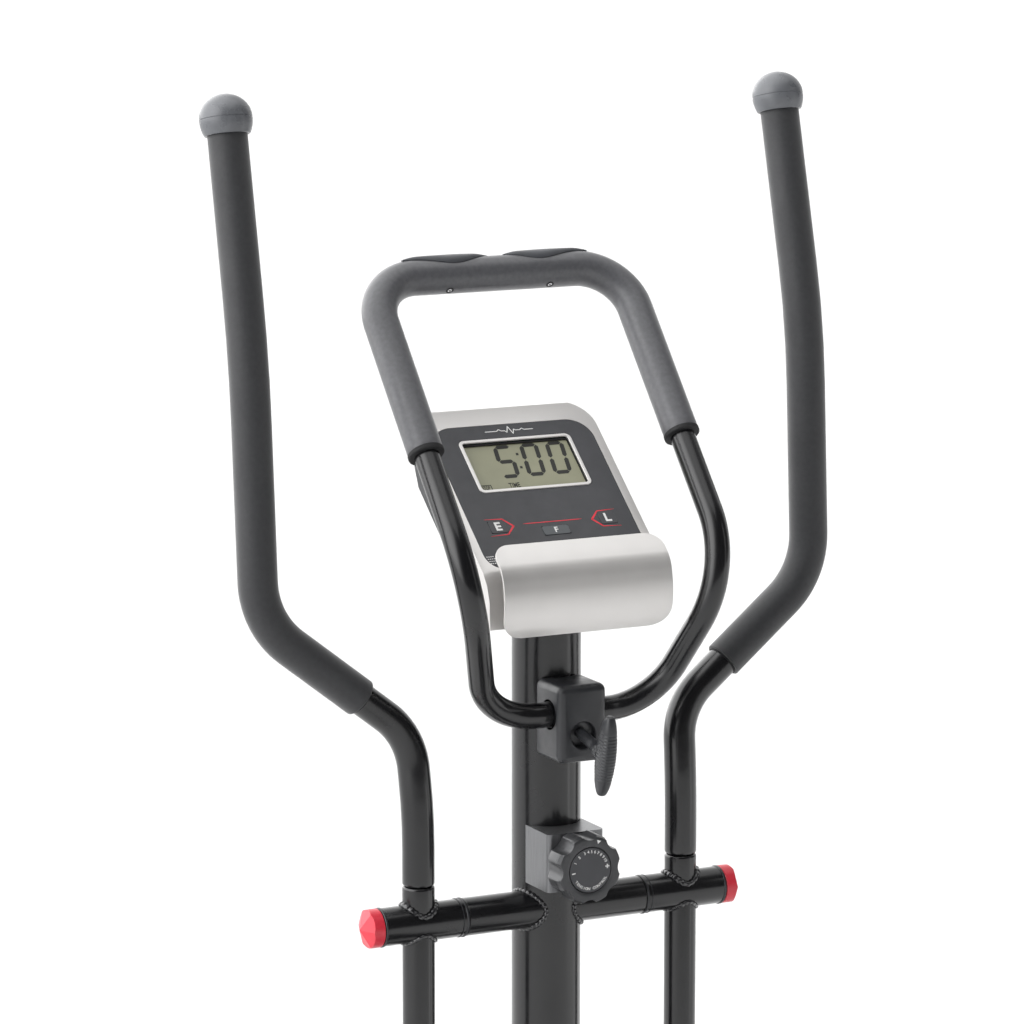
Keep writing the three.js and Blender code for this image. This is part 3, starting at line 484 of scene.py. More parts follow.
def print_on(name, marks, place, look, body, thickness=0.12):
    """Flat ink: marks are closed outlines, and place(a, b, height) says where a mark's point goes."""
    shape, uses = Shape(), {}

    def edges(outline):
        return [frozenset((round(a, 4), round(b, 4)) for a, b in pair)
                for pair in zip(outline, outline[1:] + outline[:1])]
    for edge in [e for outline in marks for e in edges(outline)]:
        uses[edge] = uses.get(edge, 0) + 1
    for outline in marks:
        n = len(outline)
        verts = [place(a, b, h) for h in (0.02, thickness) for a, b in outline]
        faces = [[i, (i + 1) % n, n + (i + 1) % n, n + i]
                 for i, edge in enumerate(edges(outline)) if uses[edge] == 1]
        shape.add(verts, faces + [list(range(n))[::-1], list(range(n, 2 * n))])
    return shape.make(name, look, body, "face_slate")


def glyphs(word, size, bold=0.0):
    """A generic word in Blender's own plain font, as triangles centred on its own middle."""
    curve = bpy.data.curves.new("word", "FONT")
    curve.body = word
    curve.size = size
    curve.offset = bold
    curve.align_x = "CENTER"
    curve.align_y = "CENTER"
    curve.resolution_u = 3
    obj = bpy.data.objects.new("word", curve)
    mesh = bpy.data.meshes.new_from_object(obj)
    tris = [[(mesh.vertices[i].co.x, mesh.vertices[i].co.y) for i in p.vertices]
            for p in mesh.polygons]
    bpy.data.objects.remove(obj)
    bpy.data.curves.remove(curve)
    bpy.data.meshes.remove(mesh)
    return tris


def shifted(marks, du, dv, lean=0.0, turn=0.0):
    c, s = math.cos(turn), math.sin(turn)
    return [[(a * c - b * s + du + lean * b, a * s + b * c + dv) for a, b in m] for m in marks]


def line(a, b, wide, wide_end=None):
    """A straight stroke between two points."""
    (ax, ay), (bx, by) = a, b
    d = math.hypot(bx - ax, by - ay)
    nx, ny = -(by - ay) / d / 2, (bx - ax) / d / 2
    end = wide if wide_end is None else wide_end
    return [(ax + nx * wide, ay + ny * wide), (ax - nx * wide, ay - ny * wide),
            (bx - nx * end, by - ny * end), (bx + nx * end, by + ny * end)]


def screw_head(at, axis, r=4.0, high_=2.4, hexagon=True):
    """A domed screw with a socket in its head."""
    at, axis = Vector(at), Vector(axis).normalized()
    ring = [(r, 0), (r, high_ * 0.35), (r * 0.86, high_ * 0.75), (r * 0.55, high_),
            (r * 0.46, high_), (r * 0.44, high_ * 0.35), (0.01, high_ * 0.3)]

    def hexed(a, rr, h):
        if hexagon and rr < r * 0.5:
            return rr / math.cos((a % (math.pi / 3)) - math.pi / 6) * 0.92, h
        return rr, h
    return lathe(ring, at, axis, 36, shape=hexed)


# ------------------------------------------------------------------ post, axle tube and welds
def post_top(y):
    """Where the post meets the console's sloping underside."""
    return HEAD.z + 291 + 0.827 * y


post_foot = low("upper_post").z
verts = []
rings = [(post_foot, POST_R - 0.8), (post_foot + 0.8, POST_R)] + [
    (post_foot + 0.8 + k * 30, POST_R) for k in range(1, 31)]
SEG = 96
for z, r in rings + [(None, POST_R)]:
    for k in range(SEG):
        a = 2 * math.pi * k / SEG
        y = r * math.sin(a)
        verts.append((r * math.cos(a), HEAD.y + y, post_top(y) if z is None else z))
Shape().add(verts, tube_faces(len(rings) + 1, SEG)).make("post_tube", "black_gloss", "frame",
                                                       replaces=["upper_post"])

axle = Shape()
axle.add(*sweep([(-AXLE_HALF, AXLE.y, AXLE.z), (AXLE_HALF, AXLE.y, AXLE.z)], AXLE_R, 64, 0.8))
axle.make("cross_axle_tube", "black_gloss", "frame", replaces=["axle_tube"])


def crossing(cy, cz, big, small, offset, sign, n=120, grow=0.4):
    """The curve where a bar along X (radius small) leaves an upright one (radius big)."""
    out = []
    for k in range(n):
        a = 2 * math.pi * k / n
        y = offset + small * math.cos(a)
        out.append(Vector((sign * math.sqrt(big ** 2 - min(y * y, big * big * 0.98)) + sign * grow,
                           cy + y, cz + small * math.sin(a))))
    return out


for sign, word in ((-1, "left"), (1, "right")):
    ring = crossing(HEAD.y, AXLE.z, POST_R, AXLE_R + 0.6, AXLE.y - HEAD.y, sign)
    Shape().add(*weld(ring, 2.4, 30)).make(f"axle_weld_{word}", weld_skin, "frame", "black_gloss")


# ------------------------------------------------------------------ swing arms
def saddle(x, r, tube, sign, n=100, grow=0.5):
    """The curve where an upright bar (radius r) leaves the sleeve (radius tube)."""
    out = []
    for k in range(n):
        a = 2 * math.pi * k / n
        dy = r * math.sin(a)
        out.append(Vector((x + r * math.cos(a), AXLE.y + dy,
                           AXLE.z + sign * (math.sqrt(tube ** 2 - min(dy * dy, tube ** 2 * 0.98))
                                            + grow))))
    return out


arm_route = {}
for side, word in ((-1, "left"), (1, "right")):
    body = f"{word}_arm"
    x = side * ARM_X
    inner, outer = side * (AXLE_HALF + 1.6), side * SLEEVE_END
    arm = Shape()
    arm.add(*sweep([(inner, AXLE.y, AXLE.z), (outer, AXLE.y, AXLE.z)], SLEEVE_R, 64, 0.9))
    arm.add(*sweep([(x, AXLE.y, AXLE.z), (x, AXLE.y, AXLE.z + SEAM)], ARM_R, 56, 2.4))
    arm.add(*sweep([(x, AXLE.y, PIVOT_Z + 30), (x, AXLE.y, AXLE.z)], ARM_R, 56, 0.8))
    arm.make(f"lower_arm_tube_{word}", "black_gloss", body, replaces=[f"lower_arm_{word}"])

    fork = Shape()
    fork.add(*block((x - 21, AXLE.y - 15, PIVOT_Z + 26), (x + 21, AXLE.y + 15, PIVOT_Z + 31)))
    for dx in (-21, 17):
        sheet = [(-15, 31), (15, 31), (15, 0)]
        sheet += [(15 * math.cos(t), 15 * math.sin(t))
                  for t in (-k * math.pi / 20 for k in range(1, 20))]
        sheet += [(-15, 0)]
        fork.add(*prism(sheet[::-1], (x + dx, AXLE.y, PIVOT_Z), Y, Z, 0, 4))
    fork.make(f"arm_fork_{word}", "black_gloss", body, bevel=1.1)

    bolt = Shape()
    for end in (-1, 1):
        bolt.add(*lathe([(10.5, 0), (10.5, 1.2), (9.8, 1.6), (9.2, 1.6), (0.01, 1.6)],
                        (x + end * 21, AXLE.y, PIVOT_Z), X * end, 40))
        bolt.add(*screw_head((x + end * 22.2, AXLE.y, PIVOT_Z), X * end, 7.5, 4.6))
    bolt.make(f"fork_bolt_{word}", chrome, body, "bright_steel")

    welds = Shape()
    welds.add(*weld(saddle(x, ARM_R + 0.7, SLEEVE_R, 1), 2.9, 22))
    welds.add(*weld(saddle(x, ARM_R + 0.5, SLEEVE_R, -1), 2.1, 24))
    foot_ring = [Vector((x + (ARM_R + 0.6) * math.cos(a), AXLE.y + (ARM_R + 0.6) * math.sin(a),
                         PIVOT_Z + 31.6)) for a in (2 * math.pi * k / 90 for k in range(90))]
    welds.add(*weld(foot_ring, 1.9, 24))
    welds.make(f"arm_welds_{word}", weld_skin, body, "black_gloss")

    flange = Shape()
    for at, way in ((AXLE_HALF + 0.5, 1), (SLEEVE_END - 2.4, 1)):
        flange.add(*lathe([(11, 0), (16.6, 0), (17.2, 0.5), (17.2, 1.7), (16.6, 2.2), (11, 2.2)],
                          (side * at, AXLE.y, AXLE.z), X * side * way, 64, closed=True))
    flange.add(*lathe([(16, 0), (17.0, 0.2), (17.0, 0.9), (16, 1.1)],
                      (side * (AXLE_HALF + 5), AXLE.y, AXLE.z), X * side, 64, closed=True))
    flange.make(f"sleeve_bushes_{word}", "satin_black", body)

    # the cap: a round band that a shallow six-sided point runs out of
    def six(a, r, h):
        if h < 9:
            return r, h
        flat = (a % (math.pi / 3)) - math.pi / 6
        return r, 17.6 - 0.47 * r * math.cos(flat)
    band = [(13.0, 0.2), (16.3, 0.2), (16.8, 0.7), (16.8, 8.0)]
    point = [(16.7 - 16.69 * k / 14, 10) for k in range(15)]
    cap = Shape().add(*lathe(band + point, (side * (SLEEVE_END + 0.2), AXLE.y, AXLE.z), X * side,
                             96, shape=six))
    cap.make(f"red_cap_{word}", "red_plastic", body_of[f"axle_cap_{word}"], sharp=14,
             replaces=[f"axle_cap_{word}"], bevel=0.35, steps=2)

    # bent upper tube, grip and ball cap
    route = rounded([
        on_head(x, -10, SEAM + 0.3), on_head(x, -10, 95), on_head(side * 130, 0, 163),
        on_head(side * 265.5, 8, 270), on_head(side * 266.5, 22, 490),
        on_head(side * 264.5, 70.5, 688)], [400, 62, 74, 600], 0.06)
    arm_route[side] = route
    total = route_length(route)
    upper = Shape().add(*sweep(stretch_of(route, 0, total - 4), ARM_R, 48, 2.4))
    upper.make(f"upper_arm_tube_{word}", "black_gloss", body, replaces=[f"handlebar_{word}"])
    grip = Shape().add(*sweep(stretch_of(route, 185, total - 13), 17, 64, 1.1))
    grip.make(f"grip_foam_{word}", "grip_foam", body, replaces=[f"grip_{word}"])
    # A near-black ring just below each grip's foam: painted shade in the foam's open end.
    mouth_shade_route = stretch_of(route, 183.6, 185.6)
    Shape().add(*sweep(mouth_shade_route, 14.9, 48, 0.4)).make(f"grip_mouth_painted_shade_{word}", black_trim_and_painted_shade, body,
                                                  "grip_foam")
    up = (route[-1] - route[-2]).normalized()
    base = route[-1] - up * 14
    profile = [(0.01, 0.6), (17.3, 0.6), (18.6, 0.2), (19.4, 0.6), (20.2, 2.2), (21.4, 5.6),
               (22.2, 9.4), (22.5, 12.6), (22.45, 13.6), (22.05, 13.9), (22.05, 14.3),
               (22.4, 14.6)]
    profile += [(22.4 * math.cos(t), 14.6 + 20.4 * math.sin(t))
                for t in (k * math.pi / 36 for k in range(1, 18))]
    profile += [(0.01, 35)]
    ball = Shape().add(*lathe(profile, base, up, 72))
    ball.make(f"ball_cap_{word}", "ball_grey", body, replaces=[f"grip_cap_{word}"], sharp=30)
refined("pivot_shaft", 0.4)


# ------------------------------------------------------------------ sensor bar
half = [(0.4, -50, 180), (32, -50, 180), (80, -42, 179), (122.3, -107.5, 304), (122.3, 100, 541)]
whole = half + [(-a, b, c) for a, b, c in reversed(half)]
bar = rounded([on_head(*p) for p in whole], [30, 54, 85, 45, 45, 85, 54, 30], 0.07)
bar_length = route_length(bar)
FOAM_FROM, FOAM_R = 336, 15.5
Shape().add(*sweep(stretch_of(bar, 0, bar_length), 11, 48, 0.6)).make(
    "sensor_bar_tube", "black_gloss", "sensor_bar", replaces=["ubar_tube"])
foam = Shape().add(*sweep(stretch_of(bar, FOAM_FROM, bar_length - FOAM_FROM), FOAM_R, 64, 1.4))
foam.make("sensor_bar_foam", foam_sheen, "sensor_bar", "grip_foam", replaces=["ubar_foam"])
rings = Shape()
for at in (FOAM_FROM, bar_length - FOAM_FROM):
    p = stretch_of(bar, at - 2, at + 2)
    way = (p[-1] - p[0]).normalized() * (1 if at < bar_length / 2 else -1)
    rings.add(*lathe([(11.1, -3), (14.6, -3), (15.7, -2.2), (15.9, -1), (15.9, 0.8), (15.3, 1.4),
                      (11.1, 1.4)], (p[0] + p[-1]) / 2, way, 64, closed=True))
rings.make("sensor_foam_rings", black_trim_and_painted_shade, "sensor_bar", "grip_foam")

pads = {}
BAR_Y, BAR_Z = HEAD.y + 100, HEAD.z + 541
for side, word in ((-1, "left"), (1, "right")):
    x0, x1 = 8, 89
    cols, rows = 60, 26
    outer_, inner_ = [], []
    for i in range(cols + 1):
        t = i / cols
        swell = math.sin(math.pi * t) ** 0.55
        front = -8 + 46 * swell * (0.75 + 0.25 * math.sin(2 * math.pi * (t - 0.12)))
        back = 8 - 78 * swell
        for j in range(rows + 1):
            u = j / rows
            a = math.radians(back + (front - back) * u)
            edge = min(1, 4.5 * min(u, 1 - u) + 0.12) * min(1, 5 * min(t, 1 - t) + 0.1)
            crown = 0.3 + 2.9 * math.sin(edge * math.pi / 2) * swell ** 0.4
            at = Vector((side * (x0 + (x1 - x0) * t), BAR_Y, BAR_Z))
            way = Vector((0, -math.sin(a), math.cos(a)))
            outer_.append(at + way * (FOAM_R + crown))
            inner_.append(at + way * (FOAM_R - 0.8))
    skin = Shape().add(outer_ + inner_, sheet_faces(cols + 1, rows + 1))
    skin.make(f"pulse_pad_skin_{word}", pad_skin, "sensor_bar", "satin_black",
              replaces=[f"pulse_pad_{word}"], sharp=50)
# Near-black dishes round the pad screws: painted shade in their recesses.
screw_recess_shade = Shape()
screws = Shape()
for x in (-48.5, 48.5):
    way = Vector((0, -0.68, -0.73)).normalized()
    at = Vector((x, BAR_Y, BAR_Z)) + way * FOAM_R
    screw_recess_shade.add(*lathe([(3.4, -0.6), (3.5, 0.25), (3.1, 0.35), (2.6, 0.1), (0.01, 0.0)], at, way, 32))
    screws.add(*screw_head(at - way * 0.5, way, 2.1, 1.0))
screw_recess_shade.make("pad_screw_recess_painted_shade", black_trim_and_painted_shade, "sensor_bar", "satin_black")
screws.make("pad_screws", chrome, "sensor_bar", "bright_steel")

# ------------------------------------------------------------------ clamp and its T screw
TILT = math.radians(13)
SCREW = Vector((0, math.cos(TILT), math.sin(TILT)))
WING = on_head(0, -111, 154)
c_lo, c_hi = low("clamp_block"), high("clamp_block")
clamp = Shape().add(*block(c_lo, c_hi))
clamp_obj = clamp.make("clamp_body", "satin_black", "frame", replaces=["clamp_block"], bevel=6.5,
                       steps=6)
cutter = Shape().add(*lathe([(11.5, -6), (11.5, 34), (9.5, 36), (0.01, 36)],
                            WING + SCREW * 13, SCREW, 48))
cutter_mesh = bpy.data.meshes.new("cut")
cutter_mesh.from_pydata([v / 1000 for v in cutter.verts], [], cutter.faces)
tool = bpy.data.objects.new("cut", cutter_mesh)
scene.collection.objects.link(tool)
made = clamp_obj.modifiers.new("recess", "BOOLEAN")
made.operation = "DIFFERENCE"
made.object = tool
made.solver = "EXACT"
bpy.context.view_layer.update()
clamp_mesh = bpy.data.meshes.new_from_object(
    clamp_obj.evaluated_get(bpy.context.evaluated_depsgraph_get()))
clamp_obj.modifiers.clear()
clamp_obj.data = clamp_mesh
bpy.data.objects.remove(tool)
bm = bmesh.new()
bm.from_mesh(clamp_mesh)
for edge in bm.edges:
    edge.smooth = not (len(edge.link_faces) == 2 and edge.calc_face_angle(0) > 0.6)
bm.to_mesh(clamp_mesh)
bm.free()
made = clamp_obj.modifiers.new("lip", "BEVEL")
made.width, made.segments, made.limit_method = 0.0012, 3, "ANGLE"
made.angle_limit = 0.7
collars = Shape()
for side in (-1, 1):
    collars.add(*lathe([(11.2, 0), (13.2, 0), (13.8, -0.6), (14.2, -2), (11.2, -2)],
                       (side * c_hi.x, HEAD.y - 50, HEAD.z + 180), X * side, 56, closed=True))
collars.make("clamp_collars", "satin_black", "frame")

stem = Shape()
stem.add(*sweep([WING + SCREW * 2, WING + SCREW * 48], 5, 36, 0.3))
stem.add(*lathe([(0.01, 0), (6.8, 0), (7.2, 0.8), (7.2, 7), (6.2, 8.6), (5.4, 13), (0.01, 13)],
                WING + SCREW * 6.5, SCREW, 44))
stem.make("tee_stem", "satin_black", "bar_screw")
up_ = X.cross(SCREW)
verts = []
LEVELS, AROUND = 240, 48
for i in range(LEVELS + 1):
    t = -1 + 2 * i / LEVELS
    lens = (1 - abs(t) ** 1.9) ** 0.62
    wide = 2.6 + 7.9 * lens
    thick = 2.8 + 4.7 * lens
    tip = min(1.0, (1 - abs(t)) * 36.5 / 1.0 + 0.62)
    ridge = 0.0
    if abs(t) < 0.66:
        fade = min(1, (0.66 - abs(t)) * 9)
        ridge = fade * 0.42 * (0.5 - 0.5 * math.cos(2 * math.pi * t * 36.5 / 2.9)) ** 0.6
    for k in range(AROUND):
        a = 2 * math.pi * k / AROUND
        c, s = math.cos(a), math.sin(a)
        p = 0.72
        ex = math.copysign(abs(c) ** p, c) * (thick * tip - ridge)
        ey = math.copysign(abs(s) ** p, s) * (wide * tip - ridge)
        verts.append(WING + up_ * (t * 36.4) + X * ex + SCREW * ey)
Shape().add(verts, tube_faces(LEVELS + 1, AROUND)).make(
    "tee_wing", "satin_black", "bar_screw", replaces=["tee_screw"], sharp=55)

# ------------------------------------------------------------------ tension box, knob and dial
refined("tension_housing", 1.1, look=box_skin, steps=3)
k_lo, k_hi = low("tension_knob"), high("tension_knob")
KNOB = Vector((0, k_hi.y, (k_lo.z + k_hi.z) / 2))
KNOB_R = (k_hi.x - k_lo.x) / 2
DEEP = k_hi.y - k_lo.y
DIAL_R = 19.6


def fluted(a, r, h):
    """Eight finger scoops round the knob."""
    gap = (a + math.pi / 8) % (math.pi / 4) - math.pi / 8
    reach, scoop = KNOB_R + 5.6, 10.0
    under = scoop ** 2 - (reach * math.sin(gap)) ** 2
    if under <= 0:
        return r, h
    edge = reach * math.cos(gap) - math.sqrt(under)
    return min(r, edge), h


profile = [(5.2, 0.3), (25.5, 0.3), (26.6, 0.6), (28.4, 2.2), (30.6, 3.0), (31.4, 3.7),
           (31.7, 5.0), (31.7, 12), (31.7, DEEP - 6.0), (31.4, DEEP - 3.8), (30.4, DEEP - 1.9),
           (29.2, DEEP - 0.8), (28.0, DEEP - 0.15), (27.0, DEEP), (24, DEEP),
           (DIAL_R + 1.3, DEEP), (DIAL_R + 0.75, DEEP - 0.3), (DIAL_R + 0.45, DEEP - 1.0),
           (DIAL_R + 0.45, DEEP - 3.4), (5.2, DEEP - 3.4)]
knob = Shape().add(*lathe([(r / 31.7 * KNOB_R if r > 30 else r, h) for r, h in profile], KNOB, -Y,
                          256, closed=True, shape=fluted))
knob.make("knob_fluted", knob_skin, "tension_knob", "satin_black", replaces=["tension_knob"],
          sharp=40)
dial = Shape().add(*lathe([(0.01, 3), (4.9, 3), (4.9, DEEP - 3.1), (DIAL_R - 0.1, DEEP - 3.1),
                           (DIAL_R, DEEP - 2.9), (DIAL_R, DEEP - 0.7), (DIAL_R - 0.35, DEEP - 0.3),
                           (0.01, DEEP - 0.3)], KNOB, -Y, 96))
dial.make("dial_disc", "face_slate", "frame", replaces=["dial_plate"])


def on_dial(a, b, h):
    return KNOB + X * a + Z * b - Y * (DEEP - 0.3 + h)


marks = []
numbers = [("1", 153), ("2", 131), ("3", 110), ("4", 97.5), ("5", 86), ("6", 74.5), ("7", 63),
           ("8", 51.5), ("9", 40.5), ("10", 28)]
for word_, at in numbers:
    a = math.radians(at)
    marks += shifted(glyphs(word_, 3.7, 0.02), 16.1 * math.cos(a), 16.1 * math.sin(a),
                     turn=a - math.pi / 2)
letters = "TENSION CONTROL"
for i, letter in enumerate(letters):
    if letter != " ":
        a = math.radians(214.5 + (332 - 214.5) * i / (len(letters) - 1))
        marks += shifted(glyphs(letter, 3.5, 0.02), 16.3 * math.cos(a), 16.3 * math.sin(a),
                         turn=a + math.pi / 2)
marks.append(line((-17.6, -1.7), (-14.4, -1.3), 0.95))
marks += [line((14.3, 2.0), (18.1, 2.0), 1.0), line((16.2, 0.1), (16.2, 3.9), 1.0)]
print_on("dial_print", marks, on_dial, white_ink, "frame", 0.1)


def on_knob(a, b, h):
    return KNOB + X * a + Z * b - Y * (DEEP + h - 0.01)


a = math.radians(72.5)
marker = [(-1.9, 1.2), (0, -2.0), (1.9, 1.2)]
print_on("knob_marker", shifted([marker], 25.4 * math.cos(a), 25.4 * math.sin(a), turn=a - math.pi / 2),
         on_knob, white_ink, "tension_knob", 0.08)

# ------------------------------------------------------------------ console
refined("console_front", 1.5, steps=4, sharp=24)
refined("console_rear", 2.0, steps=4, sharp=30)
refined("face_plate", 0.22)
refined("circuit_board", 0.3)

lip_curve = [(-52.5, 20.7), (-56, 20.9), (-60, 21.0), (-64, 21.1), (-68, 21.1), (-72, 21.0),
             (-75.5, 20.8), (-78.7, 20.3), (-81.5, 19.6), (-84.4, 18.6), (-88, 16.7), (-92, 13.7),
             (-98, 8.5), (-104, 2.1), (-109, -4.6), (-112.9, -12), (-115.4, -19),
             (-116.5, -26.5)]


def smooth_line(points, each=5):
    out = []
    for i in range(len(points) - 1):
        p0, p1, p2 = points[max(i - 1, 0)], points[i], points[i + 1]
        p3 = points[min(i + 2, len(points) - 1)]
        for k in range(each):
            t = k / each
            out.append(tuple(0.5 * (2 * b + (c - a) * t + (2 * a - 5 * b + 4 * c - d) * t * t
                                    + (3 * b - a - 3 * c + d) * t ** 3)
                             for a, b, c, d in zip(p0, p1, p2, p3)))
    return out + [points[-1]]


outer = smooth_line(lip_curve)
run = [0.0]
for (a, b), (c, d) in zip(outer, outer[1:]):
    run.append(run[-1] + math.hypot(c - a, d - b))
inner = []
for i, (s, n) in enumerate(outer):
    (a, b), (c, d) = outer[max(i - 1, 0)], outer[min(i + 1, len(outer) - 1)]
    t = math.hypot(c - a, d - b)
    inner.append((s - (d - b) / t * 2.4, n + (c - a) / t * 2.4))
LIP_HALF, TOP_R, FOOT_R = 80, 16, 20
cols = 56
verts = []
for layer in (outer, inner):
    for i, (s, n) in enumerate(layer):
        half_ = LIP_HALF
        for radius, left in ((TOP_R, TOP_R - run[i]), (FOOT_R, FOOT_R - (run[-1] - run[i]))):
            half_ -= radius - math.sqrt(radius ** 2 - max(0.0, left) ** 2)
        for j in range(cols + 1):
            verts.append(on_face(half_ * (2 * j / cols - 1), s, n))
Shape().add(verts, sheet_faces(len(outer), cols + 1)).make(
    "console_lip_shell", "console_silver", "frame", replaces=["console_lip"], sharp=48, bevel=0.7,
    steps=3)

# display: silver bezel, a well whose walls are painted near-black as shade, olive glass and its segments
G = {"x": 51.0, "s0": 26.0, "s1": 79.8}
outer = corners(-G["x"] - 3.2, G["x"] + 3.2, G["s0"] - 3.2, G["s1"] + 3.2, [5.5] * 4, 8)
inner = corners(-G["x"], G["x"], G["s0"], G["s1"], [2.6] * 4, 8)


def frame_ring(outer_, inner_, n0, n1):
    m = len(outer_)
    verts_ = [on_face(a, b, n) for n in (n0, n1) for ring_ in (outer_, inner_) for a, b in ring_]
    faces_ = []
    for i in range(m):
        j = (i + 1) % m
        faces_ += [[i, j, 2 * m + j, 2 * m + i], [m + j, m + i, 3 * m + i, 3 * m + j],
                   [2 * m + i, 2 * m + j, 3 * m + j, 3 * m + i], [j, i, m + i, m + j]]
    return verts_, faces_


Shape().add(*frame_ring(outer, inner, -0.9, 0.75)).make(
    "lcd_bezel", "console_silver", "frame", bevel=0.55, steps=4)
# The well's walls are near-black and wider along the glass's top edge: painted shade of the recess, with
# a painted shadow line under the bezel's top.
well = [(a * 0.999, s) for a, s in inner]
wall = corners(-G["x"] + 0.7, G["x"] - 0.7, G["s0"] + 0.7, G["s1"] - 2.0, [2.0] * 4, 8)
Shape().add(*frame_ring(well, wall, -3.6, -1.2)).make("lcd_well_painted_shade", black_trim_and_painted_shade, "frame", "face_slate",
                                                    bevel=0.15)
panel = Shape().add(*prism(corners(-G["x"] - 0.4, G["x"] + 0.4, G["s0"] - 0.4, G["s1"] + 0.4,
                                   [2] * 4, 4), CONSOLE, X, S_AXIS, -6.8, -2.6))
panel.make("lcd_glass", "lcd_screen", "frame", replaces=["lcd_panel"], bevel=0.1)


def on_glass(a, s, h):
    return on_face(a, s, -2.6 + h)


def digit(shape_, cx, cs, w_, h_, t, lean):
    """Seven-segment digit; shape_ names its lit bars, a to g."""
    g, half_w, half_h = 0.35, w_ / 2, h_ / 2
    e = t / 2

    def across(s):
        return [(-half_w + e + g, s), (-half_w + t * 0.95 + g, s + e), (half_w - t * 0.95 - g, s + e),
                (half_w - e - g, s), (half_w - t * 0.95 - g, s - e), (-half_w + t * 0.95 + g, s - e)]

    def upright(a_, lo_, hi_):
        return [(a_, lo_ + g), (a_ + e, lo_ + e + g), (a_ + e, hi_ - e - g), (a_, hi_ - g),
                (a_ - e, hi_ - e - g), (a_ - e, lo_ + e + g)]
    bars = {"a": across(half_h - e), "g": across(0), "d": across(-half_h + e),
            "f": upright(-half_w + e, 0, half_h - e), "b": upright(half_w - e, 0, half_h - e),
            "e": upright(-half_w + e, -half_h + e, 0), "c": upright(half_w - e, -half_h + e, 0)}
    return [[(cx + a_ + lean * b_, cs + b_) for a_, b_ in bars[k]] for k in shape_]


LEAN = 0.12
marks = digit("afgcd", -15.2, 58.4, 18, 37.6, 4.1, LEAN)
for cx in (10.2, 35.2):
    marks += digit("abcdef", cx, 58.6, 18, 37.6, 4.1, LEAN)
for cx, cs in ((-2.1, 66.0), (-3.9, 50.8)):
    marks.append([(cx - 1.2, cs - 1.3), (cx + 1.2, cs - 1.3), (cx + 1.5, cs + 1.3),
                  (cx - 0.9, cs + 1.3)])
tall = [[(a * 1.0, b * 1.55) for a, b in m] for m in glyphs("TIME", 5.0, 0.06)]
marks += shifted(tall, -17.6, 31.2)
tall = [[(a * 0.62, b * 1.15) for a, b in m] for m in glyphs("STOP", 4.9, 0.08)]
marks += shifted(tall, -45.0, 30.4)
x0, x1, s0, s1 = -50.0, -39.9, 27.3, 33.5
marks += [line((x0, s0), (x1, s0), 0.7), line((x0, s1), (x1, s1), 0.7),
          line((x0, s0), (x0, s1), 0.7), line((x1, s0), (x1, s1), 0.7)]
print_on("lcd_segments", marks, on_glass, lcd_ink, "frame", 0.1)


# plate graphics: pulse line, red line and brackets, keys with their letters
pulse = [(-24, 91.4), (-13, 91.4), (-10.6, 93.2), (-8.4, 91.4), (-5.2, 91.4), (-3.6, 89.4),
         (-0.9, 96.2), (1.8, 87.6), (3.8, 92.6), (5.4, 91.4), (9.4, 91.4), (11.6, 93.0),
         (13.6, 91.4), (22, 91.4)]
marks = [line(p, q, 0.85) for p, q in zip(pulse, pulse[1:])]
marks += [[(p[0] + 0.42 * math.cos(t), p[1] + 0.42 * math.sin(t))
           for t in (k * math.pi / 4 for k in range(8))] for p in pulse]
print_on("plate_pulse_line", marks, on_face, white_ink, "frame", 0.09)
marks = []
for i in range(4):
    for j in range(4):
        if i + j < 6:
            a, s = -75.4 + i * 1.9 + j * 0.5, -47.6 - j * 2.5
            marks.append([(a, s), (a + 1.2, s), (a + 1.1, s + 0.9), (a - 0.1, s + 0.9)])
print_on("plate_dots", marks + [[(-a, s) for a, s in reversed(m)] for m in marks], on_face,
         white_ink, "frame", 0.07)
marks = [[(-28.6, -14.35), (-24, -14.85), (24, -14.85), (28.6, -14.35), (24, -13.95),
          (-24, -13.95)]]
for side in (-1, 1):
    knee, tip, arm_end = (45.6, 8.6), (37.8, 0.0), (62.5, 9.4)
    for up in (1, -1):
        k_, t_ = (side * knee[0], -15.8 + up * knee[1]), (side * tip[0], -15.8 + tip[1])
        e_ = (side * arm_end[0], -15.8 + up * arm_end[1])
        marks += [line(t_, k_, 1.9, 1.15), line(k_, e_, 1.1, 0.25)]
        marks.append([(k_[0] + 0.62 * math.cos(t), k_[1] + 0.62 * math.sin(t))
                      for t in (j * math.pi / 5 for j in range(10))])
    marks.append([(side * tip[0] + 0.9 * math.cos(t), -15.8 + 0.9 * math.sin(t))
                  for t in (j * math.pi / 6 for j in range(12))])
marks = [m if sum(p[0] * q[1] - q[0] * p[1] for p, q in zip(m, m[1:] + m[:1])) > 0 else m[::-1]
         for m in marks]
print_on("plate_red_lines", marks, on_face, red_ink, "frame", 0.1)

